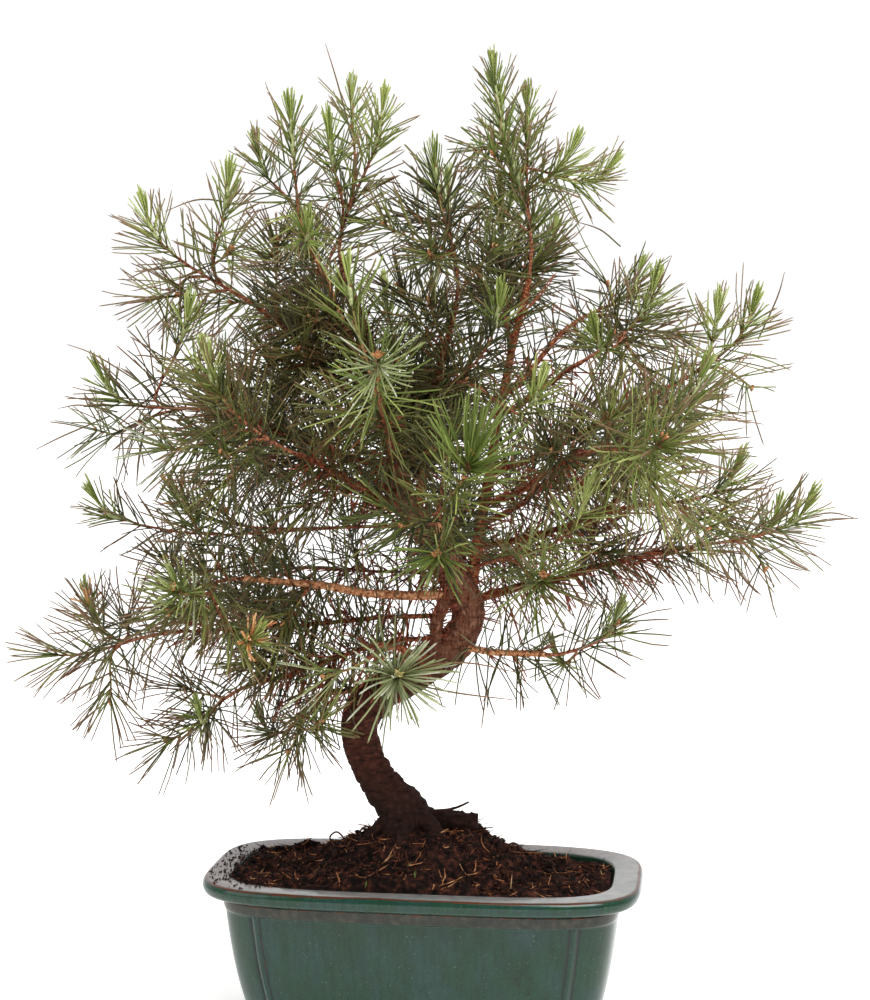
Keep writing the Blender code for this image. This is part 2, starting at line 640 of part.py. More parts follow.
def leading_shoots(mass, courses):
    """The stem of a mass and the twigs that lead to its other buds."""
    _, carrier, share, buds = mass
    row, way = place_on(courses[carrier], share)
    buds = [np.array(bud) for bud in buds]
    start = row[:3]
    radius = min(STEM_RADIUS, row[3])
    if share == 1.0:
        stem = shoot_course(start + way * STRAIGHT_START, buds[0], radius, way, SHOOT_LIFT, 4)
        stem = np.vstack([(*(start + way * GAP), radius), stem])
    else:
        stem = shoot_course(start, buds[0], radius, unit(buds[0] - start), SHOOT_LIFT, 4)
    shoots = [stem]
    for index, bud in enumerate(buds[1:]):
        fork, fork_way = place_on(stem, (FIRST_FORK + FORK_STEP * index) * twig_length(stem))
        shoots.append(shoot_course(fork[:3], bud, TWIG_RADIUS, fork_way, SHOOT_LIFT))
    return shoots


def samples(start, end, spacing=SAMPLE_STEP):
    count = max(3, int(np.linalg.norm(end - start) / spacing) + 1)
    return start + (end - start) * np.linspace(0.0, 1.0, count)[:, None]


class Room:
    """What a mass may fill: nearer to its own shoots than to any other mass's, clear of every limb."""

    def __init__(self, courses, shoots_of):
        limbs = list(courses.values())
        self.starts = np.vstack([course[:-1, :3] for course in limbs])
        self.ends = np.vstack([course[1:, :3] for course in limbs])
        self.radii = np.concatenate([np.maximum(course[:-1, 3], course[1:, 3]) for course in limbs])
        sites = []
        owners = []
        for owner, shoots in enumerate(shoots_of):
            for shoot in shoots:
                for first, second in zip(shoot, shoot[1:]):
                    dots = samples(first[:3], second[:3], SITE_STEP)
                    sites.append(dots)
                    owners.extend([owner] * len(dots))
        self.sites = np.vstack(sites)
        self.owners = np.array(owners)

    def inside_reach(self, dots):
        return bool(np.all(np.abs(dots[:, 0]) < REACH[0]) and np.all(np.abs(dots[:, 1]) < REACH[1])
                    and np.all(dots[:, 2] < REACH[2]))

    def own_space(self, dots, owner, room):
        """True where each dot lies on its own side of the plane halfway to every foreign site."""
        own = self.sites[self.owners == owner]
        foreign = self.sites[self.owners != owner]
        own_square = ((dots[:, None] - own[None]) ** 2).sum(-1)
        nearest = own_square.argmin(1)
        own_best = own_square[np.arange(len(dots)), nearest]
        foreign_square = ((dots[:, None] - foreign[None]) ** 2).sum(-1)
        apart = np.linalg.norm(own[nearest][:, None] - foreign[None], axis=-1)
        return bool(np.all((foreign_square - own_best[:, None]) / (2 * apart) > room))

    def clear_of_limbs(self, dots, room):
        axis = self.ends - self.starts
        share = ((dots[:, None] - self.starts[None]) * axis[None]).sum(-1) / (axis ** 2).sum(-1)[None]
        nearest = self.starts[None] + np.clip(share, 0.0, 1.0)[..., None] * axis[None]
        return bool(np.all(np.linalg.norm(dots[:, None] - nearest, axis=-1) > self.radii[None] + room))

    def allows(self, start, end, owner, radius):
        dots = samples(start, end)
        return (self.inside_reach(dots) and self.own_space(dots, owner, radius + SPRAY_ROOM)
                and self.clear_of_limbs(dots, radius + LIMB_ROOM))


def tilted(way, angle, turn):
    """A direction that leans off the given one by an angle, turned round it."""
    side = unit(np.cross(way, (0.0, 0.0, 1.0) if abs(way[2]) < 0.9 else (1.0, 0.0, 0.0)))
    other = np.cross(way, side)
    return (way * math.cos(angle) + (side * math.cos(turn) + other * math.sin(turn)) * math.sin(angle))


def side_shoots(stem, wanted, owner, room, dice):
    """Seeded twigs off the stem, each at the golden angle from the one before and lifted a little."""
    found = []
    turn = dice.uniform(0.0, 2 * math.pi)
    for trial in range(SHOOT_TRIALS):
        if len(found) >= wanted:
            break
        turn += GOLDEN_ANGLE
        share = FIRST_FORK + FORK_RANGE * ((trial * GOLDEN_SHARE) % 1.0)
        fork, way = place_on(stem, share * twig_length(stem))
        lean = tilted(way, math.radians(SHOOT_ANGLE + dice.uniform(*SHOOT_ANGLE_SPREAD)), turn)
        lean = unit(lean + np.array([0.0, 0.0, SHOOT_LIFT / 2]))
        length = dice.uniform(*SHOOT_LENGTH)
        end = fork[:3] + lean * length
        shoot = shoot_course(fork[:3], end, TWIG_RADIUS, lean, SHOOT_LIFT, 2)
        if all(room.allows(a[:3], b[:3], owner, TWIG_RADIUS) for a, b in zip(shoot, shoot[1:])):
            found.append(shoot)
    return found


def meets(start, end, placed):
    """True where the open part of a spray would touch the open part of one that is already placed."""
    if not placed:
        return False
    dots = samples(start + (end - start) * SPRAY_CLOSED, end)
    firsts = np.array([a + (b - a) * SPRAY_CLOSED for a, b in placed])
    axes = np.array([b for _, b in placed]) - firsts
    share = ((dots[:, None] - firsts[None]) * axes[None]).sum(-1) / (axes ** 2).sum(-1)[None]
    nearest = firsts[None] + np.clip(share, 0.0, 1.0)[..., None] * axes[None]
    return bool(np.any(np.linalg.norm(dots[:, None] - nearest, axis=-1) < SPRAY_APART * SPRAY_RADIUS))


def grow_sprays(shoot, other_twigs, owner, room, dice, placed):
    """Sprays of needles round a shoot, and a tuft of them near its bud."""
    first_share = clear_part(shoot, owner, room) + FIRST_SPRAY
    length = np.linalg.norm(np.diff(shoot[:, :3], axis=0), axis=1).sum()
    bud = length * twig_length(shoot)
    turn = dice.uniform(0.0, 2 * math.pi)
    wanted = []
    run = first_share * length
    while run < bud - TUFT_SETBACK - TUFT_CLEAR:
        wanted.append((run / length, SPRAY_ANGLE + dice.uniform(*SPRAY_ANGLE_SPREAD)))
        run += SPRAY_STEP
    setback_share = (bud - TUFT_SETBACK) / length
    wanted += [(setback_share, TUFT_ANGLE + dice.uniform(*TUFT_ANGLE_SPREAD)) for _ in range(TUFT_SPRAYS)]
    sprays = []
    for share, angle in wanted:
        row, way = place_on(shoot, share)
        turn += GOLDEN_ANGLE
        lean = tilted(way, math.radians(angle), turn)
        reach = SPRAY_LENGTH * dice.uniform(*SPRAY_LENGTH_SPREAD)
        sprays.append((row[:3], lean, reach))
    for start, lean, reach in sprays:
        size = 1.0
        while size > SHORTEST_SPRAY:
            end = start + lean * reach * size
            if room.allows(start, end, owner, SPRAY_RADIUS) and not meets(start, end, placed + other_twigs):
                placed.append((start, end))
                break
            size *= SPRAY_SHRINK


def clear_part(shoot, owner, room):
    """The share of a shoot past which it is clear of its own limb and inside its own space."""
    for share in np.linspace(*FIRST_SPRAY_SHARES):
        row, _ = place_on(shoot, share)
        dots = row[None, :3]
        clear = room.clear_of_limbs(dots, SPRAY_RADIUS + FIRST_SPRAY_ROOM)
        if clear and room.own_space(dots, owner, SPRAY_RADIUS):
            break
    return share


def make_mass(owner, mass, shoots, room, courses, collection):
    name, carrier, share, _ = mass
    dice = random.Random(1000 + owner)
    shoots = shoots + side_shoots(shoots[0], SHOOTS_PER_MASS - len(shoots), owner, room, dice)
    parts = new_collection(name + "_parts")
    sprays = []
    for index, shoot in enumerate(shoots):
        if index > 0:
            add_mesh("twig", tube("twig", shoot, parts, 3), parts)
        other_twigs = [(a[:3], b[:3]) for other in shoots if other is not shoot
                       for a, b in zip(other, other[1:])]
        grow_sprays(shoot, other_twigs, owner, room, dice, sprays)
    for start, end in sprays:
        spray(start, end, SPRAY_RADIUS, parts)
    body = add_mesh(name, tube(name, shoots[0], collection, 3), collection, "pine_needles")
    fuse(body, parts, "MANIFOLD")
    if share < 1.0:
        cut(body, room_round(carrier, courses, collection), "MANIFOLD")
    body.data.materials.clear()
    body.data.materials.append(finish("pine_needles"))


def main():
    clear_scene()
    bonsai = new_collection("aleppo_pine_bonsai")
    courses = all_courses()
    make_pot(bonsai)
    make_soil(bonsai)
    make_trunk(bonsai, courses)
    make_limbs(bonsai, courses)
    shoots_of = [leading_shoots(mass, courses) for mass in MASSES]
    room = Room(courses, shoots_of)
    for owner, mass in enumerate(MASSES):
        make_mass(owner, mass, shoots_of[owner], room, courses, bonsai)


main()
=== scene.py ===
"""The looks of an aleppo pine bonsai: glazed pot, peat, flaky bark, scaly twigs and about 16,000 needles.

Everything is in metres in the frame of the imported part: +Z up, the pot's long side along X, its front at -Y.
Limbs follow the same courses as the solids do, and every mass grows from its limb by the solids' own rule,
carried on to finer twigs and single needles.
"""
import math
import random

import bpy
import numpy as np
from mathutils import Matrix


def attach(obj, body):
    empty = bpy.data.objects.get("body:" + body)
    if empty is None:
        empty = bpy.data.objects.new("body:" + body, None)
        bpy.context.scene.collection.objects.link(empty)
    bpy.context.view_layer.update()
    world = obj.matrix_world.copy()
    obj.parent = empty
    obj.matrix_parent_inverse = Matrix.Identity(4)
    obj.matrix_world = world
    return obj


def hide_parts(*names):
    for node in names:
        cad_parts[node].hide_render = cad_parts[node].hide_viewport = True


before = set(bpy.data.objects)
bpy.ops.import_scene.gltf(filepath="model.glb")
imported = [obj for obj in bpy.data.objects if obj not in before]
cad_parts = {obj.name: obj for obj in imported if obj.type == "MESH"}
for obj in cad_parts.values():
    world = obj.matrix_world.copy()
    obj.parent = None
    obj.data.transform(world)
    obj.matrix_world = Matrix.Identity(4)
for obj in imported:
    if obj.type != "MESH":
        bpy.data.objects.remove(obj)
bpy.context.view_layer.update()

TINY = 1e-12
UP = np.array([0.0, 0.0, 1.0])
ANY_TURN = (0, 6.28)
CROWDED = 0.4

# Hash of the noise: a factor for each axis and for the seed, and the one that mixes them
HASH_FACTORS = (73856093, 19349663, 83492791)
HASH_SEED = 2654435
HASH_MIX = 1274126177

# Pot, as in the solids
POT_LENGTH = 0.260
POT_WIDTH = 0.140
POT_HEIGHT = 0.088
RIM_SQUARENESS = 4.1
BODY_SQUARENESS = 4.6
LIP_WIDTH = 0.0172
BODY_TOP = 0.0752
BODY_INSET = 0.0126
WALL_LEAN = 0.11
WALL_CURL = 15.0
WALL_THICKNESS = 0.0062
UNDERSIDE = 0.0065
FLOOR_TOP = 0.0145
EDGE_ROUND = 0.0025
EDGE_INSET = 0.0040
EDGE_BEND = (0.0012, 0.0006)
UNDERSIDE_INSET = 0.012
WALL_SPAN = (UNDERSIDE + 0.006, 0.0690)
PANEL_DEPTH = 0.0012
PANEL_SPAN = (0.0165, 0.0698)
PANEL_EASE = (0.0015, 0.0010)
PANEL_END = (-0.0046, -0.0034)
BAND_HEIGHTS = (0.0705, 0.0765)
BAND_RISE = 0.0006
BAND_MIDDLE = 0.0735
BAND_START = (0.0686, 0.0710)
BAND_WORN_AT = 0.0759
FOOT_SIZE = (0.034, 0.018, 0.011)
FOOT_PLACE = (0.080, 0.029)
FOOT_SQUARENESS = 4.0
POT_COLUMNS = 400
RIB_PLACE = 0.798
RIB_REACH = 0.0062
RIB_COLUMNS = 33
FOOT_COLUMNS = 64
SECTION_STEPS = 4
WALL_ROWS = 16

# The pot's profile as inset and height: the lip from its foot over its top, and heights down the inside
LIP_SECTION = ((0.0128, 0.0777), (0.0100, 0.0780), (0.0070, 0.0784), (0.0035, 0.0791), (0.0012, 0.0806),
               (0.0, 0.0842), (0.0008, 0.0868), (0.0022, 0.0878), (0.0045, 0.0880), (0.0095, 0.0879),
               (0.0142, 0.0876), (0.0163, 0.0872), (LIP_WIDTH, POT_HEIGHT - 0.0020))
INNER_HEIGHTS = (0.0815, BODY_TOP, 0.0600, 0.0500, 0.0400, 0.0300, 0.0200, FLOOR_TOP)
FOOT_SECTION = ((0.0015, 0.0), (0.0004, 0.0005), (0.0, 0.0016), (0.0, 0.006), (-0.001, FOOT_SIZE[2]))

# Beside each rib: place off it, half-width and rise of its bead and of the two grooves
BEAD = (0.0, 0.0011, 0.0008)
NEAR_GROOVE = (-0.0028, 0.0008, -0.0009)
FAR_GROOVE = (0.0030, 0.0009, -0.0008)

# Soil, as in the solids
SOIL_CLEARANCE = 0.0003
SOIL_EDGE = 0.0835
TABLE_HEIGHT = 0.1120
MOUND_HEIGHT = 0.0385
MOUND_CENTRE = 0.001
MOUND_REACH = (0.055, 0.042)
SOIL_BUMP = 0.0012
SOIL_WAVES = (190.0, 90.0, 230.0, 70.0)
SOIL_LAP = 0.0040
LAP_REACH = (0.110, 0.050)
LAP_START = 0.65
LAP_SIDE = (-0.010, 0.050)
SOIL_LUMPS = ((0.0020, 0.009, 31), (0.0015, 0.0044, 32), (0.0009, 0.0020, 33))
SOIL_RINGS = 150
SOIL_SHARES = (0.995, 0.0004)
SOIL_BOTTOM = FLOOR_TOP + 0.03
SOIL_COLUMNS = 320
SOIL_SEED = 77
CRUMBS = 3600
CRUMB_SIZES = (0.0004, 0.0012)
CLODS = 520
CLOD_RISE = 0.0006
CLOD_SIZES = (0.0011, 0.0024)

# Bits in the soil: name, colours, count, lengths, rise and half-thickness
SOIL_BITS = (
    ("soil_straw", ("#6A3A24", "#A0683F", "#D0A074"), 190, (0.004, 0.019), 0.22, 0.00040),
    ("soil_stalks", ("#6A4028", "#9A6A48", "#C8A078"), 44, (0.006, 0.015), 1.10, 0.00040),
    ("soil_twiglets", ("#160B08", "#2A1712", "#48291E"), 80, (0.008, 0.020), 0.18, 0.00070),
    ("soil_fibres", ("#331A11", "#5C3020", "#8A5238"), 620, (0.004, 0.014), 0.22, 0.00030),
    ("soil_rootlets", ("#140A07", "#2C1810", "#4A2C1E"), 800, (0.005, 0.020), 0.28, 0.00026),
)
LIP_CRUMBS = 330
LIP_CRUMB_SIZES = (0.0002, 0.0009)
LIP_CRUMB_INSET = 0.0030
LIP_CRUMB_CROWDING = 2.2
LIP_CRUMB_TURNS = (2.55, 4.05)
SPROUT_LEAN = 0.5
SPROUT_BEND = 0.3
SPROUT_LENGTHS = (0.003, 0.007)
SPROUT_ROWS = (0, 0.3, 0.6, 1.0)
SPROUT_SHAPE = (0.0005, 0.0006, 0.0004, 0.0)
SPOT_SHARE = 0.97
FIBRE_ROWS = (0, 0.2, 0.4, 0.6, 0.8, 1.0)
FIBRE_SHAPE = (0.8, 1.0, 1.0, 0.9, 0.7, 0.0)
FIBRE_SINK = 0.0002
FIBRE_BEND = 0.25
FIBRE_LIFT = 0.4
FIBRE_WIDTHS = (0.6, 1.3)
FIBRE_SIDES = 5
LUMP_CORNERS = (0.65, 1.25)
LUMP_SQUASH = (0.5, 1.2)
SPROUTS = ((0.0008, -0.0476, 0.0951), (-0.0048, -0.0372, 0.0992), (-0.0276, -0.0529, 0.0896))

# Trunk, as places (x, y, z) and half-thicknesses, the same as the solid's
TRUNK_COURSE = (
    (-0.008, -0.001, 0.1000, 0.0195),
    (-0.0135, -0.002, 0.1230, 0.0142),
    (-0.0245, -0.003, 0.1380, 0.0117),
    (-0.0355, -0.004, 0.1560, 0.0107),
    (-0.0385, -0.007, 0.1730, 0.0109),
    (-0.0345, -0.008, 0.1860, 0.0115),
    (-0.024, -0.007, 0.1970, 0.0115),
    (-0.010, -0.004, 0.2050, 0.0115),
    (0.005, 0.001, 0.2150, 0.0115),
    (0.019, 0.005, 0.2260, 0.0108),
    (0.025, 0.007, 0.2390, 0.0096),
    (0.023, 0.006, 0.2520, 0.0101),
    (0.017, 0.004, 0.2640, 0.0095),
    (0.009, 0.003, 0.2780, 0.0083),
    (-0.003, 0.005, 0.2950, 0.0074),
    (-0.014, 0.008, 0.3120, 0.0070),
    (-0.018, 0.010, 0.3330, 0.0064),
    (-0.022, 0.009, 0.3570, 0.0056),
    (-0.029, 0.006, 0.3840, 0.0048),
    (-0.038, 0.001, 0.4130, 0.0040),
    (-0.048, -0.006, 0.4440, 0.0030),
)
SIDE_STEM = (
    (0.000, -0.003, 0.2130, 0.0040),
    (0.007, -0.006, 0.2260, 0.0037),
    (0.008, -0.006, 0.2380, 0.0036),
    (0.012, -0.003, 0.2500, 0.0038),
    (0.017, 0.002, 0.2600, 0.0040),
)
ROOT_STUB = ((-0.002, 0.000, 0.1150), (0.0315, 0.002, 0.1158), 0.0070, 0.0060)
ROOT_CURLS = (((-0.0535, -0.0071, 0.1010), (-0.0565, -0.0075, 0.1070), (-0.0529, -0.0071, 0.1105),
               (-0.0493, -0.0066, 0.1080), (-0.0464, -0.0062, 0.1010)),
              ((-0.0366, -0.0099, 0.1040), (-0.0378, -0.0101, 0.1115), (-0.0342, -0.0096, 0.1150),
               (-0.0301, -0.0091, 0.1130), (-0.0271, -0.0087, 0.1070)),
              ((0.0480, -0.0120, 0.1020), (0.0530, -0.0130, 0.1085), (0.0580, -0.0150, 0.1075),
               (0.0620, -0.0170, 0.0990)))
CURL_RADIUS = 0.00055
ROOTLET = ((0.0046, -0.0115, 0.126), (0.0141, -0.0112, 0.1269), (0.0212, -0.0103, 0.1287),
           (0.0276, -0.0094, 0.1317))
ROOTLET_TAPER = (1.2, 1.0, 0.9, 0.6)
ROOTLET_RADIUS = 0.0008
ROOT_TOES = ((-160.0, 0.027), (-95.0, 0.026), (-40.0, 0.030), (35.0, 0.026), (105.0, 0.024), (165.0, 0.026))
TOE_RADIUS = 0.0062
TOE_RISE = 0.010
TOE_SECTION = ((0.0, TOE_RISE, 1.0), (0.55, TOE_RISE * 0.55, 0.75), (1.0, -0.004, 0.35))
STUB_RISE = 0.0012
STUB_TAPER = 0.93

# The bark's relief: its plates, the trunk's swellings by depth, cell and seed, its creases and the scales
PLATE_STRETCH = (1.0, 1.0, 0.7)
FINE_CELL = 0.38
GRIT_CELL = 0.16
TRUNK_SWELLS = ((0.0013, 0.021, 8), (0.0006, 0.009, 10))
CREASE_DEPTH = 0.0010
CREASE_CELL = 0.0060
CREASE_STRETCH = (0.35, 0.4)
CREASE_SHARPNESS = 3.0
SCALE_SPIRALS = 3
LIMB_ROW = 0.0008
TWIG_ROW = 0.003

# Limbs: name, limb they leave, share of its length, tip, half-thickness at both ends, rise
LIMBS = (
    ("right_leader", "trunk", 0.445, (0.061, 0.003, 0.440), 0.0050, 0.0024, 0.60),
    ("middle_limb", "trunk", 0.615, (0.019, -0.006, 0.424), 0.0040, 0.0021, 0.45),
    ("crest_left_bough", "trunk", 0.865, (-0.062, -0.016, 0.452), 0.0026, 0.0018, 0.20),
    ("upper_left_bough", "trunk", 0.790, (-0.098, -0.012, 0.424), 0.0032, 0.0019, 0.20),
    ("left_high_bough", "trunk", 0.700, (-0.118, -0.018, 0.362), 0.0032, 0.0019, 0.05),
    ("left_front_bough", "trunk", 0.640, (-0.064, -0.062, 0.340), 0.0030, 0.0018, 0.10),
    ("left_low_bough", "side_stem", 0.860, (-0.098, -0.052, 0.268), 0.0036, 0.0021, -0.05),
    ("left_far_low_bough", "side_stem", 0.600, (-0.148, -0.026, 0.232), 0.0036, 0.0021, 0.00),
    ("left_foot_bough", "side_stem", 0.340, (-0.098, -0.030, 0.203), 0.0033, 0.0020, 0.10),
    ("left_inner_foot_bough", "trunk", 0.285, (-0.060, -0.018, 0.196), 0.0030, 0.0019, 0.15),
    ("front_low_bough", "side_stem", 0.100, (-0.014, -0.084, 0.236), 0.0030, 0.0020, 0.15),
    ("front_middle_bough", "trunk", 0.545, (0.018, -0.080, 0.308), 0.0032, 0.0019, 0.05),
    ("front_high_bough", "trunk", 0.670, (-0.012, -0.084, 0.366), 0.0030, 0.0018, 0.15),
    ("upper_right_bough", "right_leader", 0.600, (0.092, 0.014, 0.392), 0.0023, 0.0017, 0.25),
    ("right_front_bough", "right_leader", 0.340, (0.098, -0.058, 0.342), 0.0026, 0.0018, 0.15),
    ("right_far_high_bough", "right_leader", 0.430, (0.136, 0.014, 0.374), 0.0026, 0.0018, 0.20),
    ("right_middle_bough", "right_leader", 0.210, (0.118, 0.006, 0.306), 0.0028, 0.0018, 0.15),
    ("right_far_low_bough", "trunk", 0.470, (0.150, 0.022, 0.281), 0.0036, 0.0021, 0.30),
    ("right_low_bough", "trunk", 0.400, (0.074, -0.024, 0.223), 0.0026, 0.0018, -0.15),
    ("back_left_high_bough", "trunk", 0.760, (-0.062, 0.052, 0.418), 0.0030, 0.0018, 0.20),
    ("back_left_middle_bough", "trunk", 0.655, (-0.084, 0.072, 0.344), 0.0031, 0.0019, 0.10),
    ("back_left_low_bough", "trunk", 0.515, (-0.070, 0.058, 0.262), 0.0032, 0.0019, 0.00),
    ("back_right_high_bough", "right_leader", 0.660, (0.080, 0.060, 0.412), 0.0023, 0.0017, 0.20),
    ("back_right_middle_bough", "right_leader", 0.280, (0.086, 0.078, 0.330), 0.0027, 0.0018, 0.10),
)
LIMB_POINTS = 6
LIMB_LEAVE = 0.34
LIMB_ARRIVE = 0.30
LIMB_WANDER = 0.0016

# Masses: name, limb that carries them, share of it (1 at its tip), and the buds of their leading shoots
MASSES = (
    ("apex", "right_leader", 1.0, ((0.043, -0.004, 0.541), (0.058, 0.023, 0.533), (0.081, -0.009, 0.503),
                                   (0.098, 0.018, 0.497), (0.026, 0.034, 0.518))),
    ("crest", "trunk", 1.0, ((-0.023, -0.023, 0.524), (-0.047, -0.047, 0.510), (-0.047, 0.024, 0.538))),
    ("crest_left", "crest_left_bough", 1.0, ((-0.073, -0.030, 0.522), (-0.099, 0.007, 0.508),
                                             (-0.054, -0.083, 0.459))),
    ("crest_middle", "middle_limb", 1.0, ((0.011, -0.029, 0.494), (0.015, -0.089, 0.452),
                                          (0.010, 0.033, 0.487))),
    ("upper_left", "upper_left_bough", 1.0, ((-0.156, -0.031, 0.469), (-0.108, -0.045, 0.484),
                                             (-0.165, 0.008, 0.430))),
    ("left_high", "left_high_bough", 1.0, ((-0.183, -0.024, 0.373), (-0.204, 0.013, 0.350),
                                           (-0.124, -0.080, 0.410))),
    ("left_front", "left_front_bough", 1.0, ((-0.102, -0.108, 0.384), (-0.093, -0.123, 0.345),
                                             (-0.134, -0.088, 0.345))),
    ("left_middle", "trunk", 0.600, ((-0.150, 0.018, 0.302), (-0.190, -0.010, 0.300))),
    ("left_low", "left_low_bough", 1.0, ((-0.123, -0.107, 0.267), (-0.090, -0.090, 0.236))),
    ("left_far_low", "left_far_low_bough", 1.0, ((-0.214, -0.038, 0.219), (-0.207, 0.008, 0.237),
                                                 (-0.186, -0.025, 0.190))),
    ("left_foot", "left_foot_bough", 1.0, ((-0.150, -0.030, 0.168), (-0.120, -0.062, 0.185))),
    ("left_inner_foot", "left_inner_foot_bough", 1.0, ((-0.077, -0.026, 0.163), (-0.100, 0.020, 0.164),
                                                       (-0.051, -0.063, 0.188))),
    ("front_low", "front_low_bough", 1.0, ((0.005, -0.141, 0.228), (-0.040, -0.108, 0.222))),
    ("front_middle", "front_middle_bough", 1.0, ((0.041, -0.126, 0.341), (0.026, -0.140, 0.292))),
    ("front_right_low", "right_leader", 0.150, ((0.098, -0.092, 0.312), (0.078, -0.100, 0.276))),
    ("front_high", "front_high_bough", 1.0, ((-0.003, -0.154, 0.393), (-0.024, -0.114, 0.427))),
    ("middle_right_high", "middle_limb", 0.560, ((0.050, -0.074, 0.415), (0.074, -0.111, 0.372))),
    ("upper_right", "upper_right_bough", 1.0, ((0.130, 0.017, 0.425), (0.103, 0.044, 0.451),
                                               (0.105, -0.040, 0.400))),
    ("right_front", "right_front_bough", 1.0, ((0.141, -0.116, 0.351), (0.158, -0.070, 0.375))),
    ("right_far_high", "right_far_high_bough", 1.0, ((0.188, 0.025, 0.413), (0.169, -0.014, 0.411),
                                                     (0.200, 0.060, 0.376))),
    ("right_middle", "right_middle_bough", 1.0, ((0.177, -0.017, 0.322), (0.166, -0.050, 0.300))),
    ("right_far_low", "right_far_low_bough", 1.0, ((0.218, 0.031, 0.297), (0.205, 0.070, 0.290),
                                                   (0.205, 0.000, 0.268))),
    ("right_low", "right_low_bough", 1.0, ((0.108, -0.026, 0.235), (0.124, -0.094, 0.262),
                                           (0.082, -0.004, 0.214))),
    ("back_top", "right_leader", 0.760, ((0.036, 0.090, 0.484), (0.066, 0.100, 0.462))),
    ("back_left_high", "back_left_high_bough", 1.0, ((-0.088, 0.090, 0.466), (-0.132, 0.070, 0.428))),
    ("back_left_middle", "back_left_middle_bough", 1.0, ((-0.150, 0.105, 0.362), (-0.112, 0.136, 0.372))),
    ("back_left_low", "back_left_low_bough", 1.0, ((-0.118, 0.104, 0.262), (-0.152, 0.062, 0.232))),
    ("back_middle", "trunk", 0.720, ((-0.012, 0.156, 0.384), (-0.046, 0.146, 0.426))),
    ("back_right_high", "back_right_high_bough", 1.0, ((0.118, 0.100, 0.436), (0.146, 0.082, 0.408))),
    ("back_right_middle", "back_right_middle_bough", 1.0, ((0.146, 0.118, 0.338), (0.104, 0.146, 0.352))),
    ("back_low", "trunk", 0.560, ((0.046, 0.136, 0.268), (0.000, 0.142, 0.282))),
)

MASS_NAMES = [name for name, *_ in MASSES]

# Growth of a mass, as in the solids
REACH = (0.246, 0.186, 0.572)
STEM_RADIUS = 0.0017
TWIG_RADIUS = 0.0013
TWIG_END = 0.0009
SHOOT_ANGLE = 52.0
SHOOT_ANGLE_STRAY = (-10, 14)
EDGE_ROOM = 0.03
SHOOT_LIFT = 0.35
SHOOT_LEAVE = 0.35
SHOOT_ARRIVE = 0.30
FIRST_FORK = 0.30
FORK_STEP = 0.14
GOLDEN_ANGLE = math.radians(137.5)
GOLDEN_SHARE = 0.618
GOLDEN = (1 + 5 ** 0.5) / 2

# Finer growth than the solids have
SIDE_SHOOTS = 1.5
SIDE_SPAN = (0.08, 0.66)
SIDE_LENGTH = (0.024, 0.044)
LIMB_SHOOTS = 3.0
LIMB_LENGTH = (0.028, 0.052)
TRUNK_SHOOTS = 20
SHOOTS_PER = 0.10
SIDE_SHOOTS_STRAY = (-0.4, 0.4)
SIDE_BARE = 0.1
OLD_STRETCH = 0.35
TUFT_LENGTH = 0.010
LEAST_BARK = 0.3
BOUGH_SLIMMING = 0.74
SLIMMEST = {"left_foot_bough": 0.46, "left_far_low_bough": 0.40, "back_left_low_bough": 0.36,
            "left_low_bough": 0.82, "right_low_bough": 0.86}
TWIG_SLIMMING = 0.62
HANGING = {"left_low_bough": (0.10, 0.98), "right_low_bough": (0.14, 0.98),
           "left_far_low_bough": (0.12, 0.60), "left_foot_bough": (0.15, 0.60)}
BARE_SHARES = {"left_low_bough": 0.62, "left_far_low_bough": 0.40, "left_foot_bough": 0.35,
               "left_inner_foot_bough": 0.55, "right_low_bough": 0.45, "right_far_low_bough": 0.50,
               "front_low_bough": 0.80, "right_leader": 0.20, "back_left_low_bough": 0.60,
               "right_middle_bough": 0.35}
BARE_SHARE = 0.25
BARE_STEMS = {"left_middle": 0.45, "back_left_low": 0.35}
BARE_STEM = 0.12

# Density and seed for each mass, limb and the trunk, picked by a search for the photo's fullness
GROWTH = {"apex": (0.7, 7), "crest": (0.1, 6), "crest_left": (0.1, 7), "crest_middle": (0.7, 0),
          "upper_left": (0.35, 7), "left_high": (0.1, 0), "left_front": (1.0, 4), "left_middle": (0.1, 7),
          "left_low": (1.0, 6), "left_far_low": (0.7, 3), "left_foot": (0.7, 4),
          "left_inner_foot": (0.35, 3), "front_low": (0.1, 2), "front_middle": (0.7, 6),
          "front_right_low": (0.1, 5), "front_high": (0.1, 0), "middle_right_high": (0.1, 3),
          "upper_right": (0.35, 0), "right_front": (1.0, 4), "right_far_high": (0.1, 1),
          "right_middle": (0.35, 2), "right_far_low": (0.35, 2), "right_low": (0.1, 1),
          "back_top": (1.5, 6), "back_left_high": (1.1, 2), "back_left_middle": (1.5, 1),
          "back_left_low": (1.5, 1), "back_middle": (1.1, 3), "back_right_high": (0.8, 1),
          "back_right_middle": (1.5, 7), "back_low": (0.8, 2), "right_leader": (0.0, 5),
          "middle_limb": (1.6, 1), "crest_left_bough": (1.1, 4), "upper_left_bough": (1.6, 4),
          "left_high_bough": (1.6, 0), "left_front_bough": (1.6, 5), "left_low_bough": (1.6, 4),
          "left_far_low_bough": (1.6, 5), "left_foot_bough": (0.7, 5), "left_inner_foot_bough": (0.3, 2),
          "front_low_bough": (0.0, 1), "front_middle_bough": (1.1, 2), "front_high_bough": (1.6, 2),
          "upper_right_bough": (0.0, 1), "right_front_bough": (1.6, 2), "right_far_high_bough": (0.7, 0),
          "right_middle_bough": (0.7, 5), "right_far_low_bough": (1.1, 2), "right_low_bough": (0.0, 2),
          "back_left_high_bough": (0.8, 0), "back_left_middle_bough": (1.2, 1),
          "back_left_low_bough": (0.8, 1), "back_right_high_bough": (0.8, 4),
          "back_right_middle_bough": (0.8, 2), "trunk": (1.0, 1)}

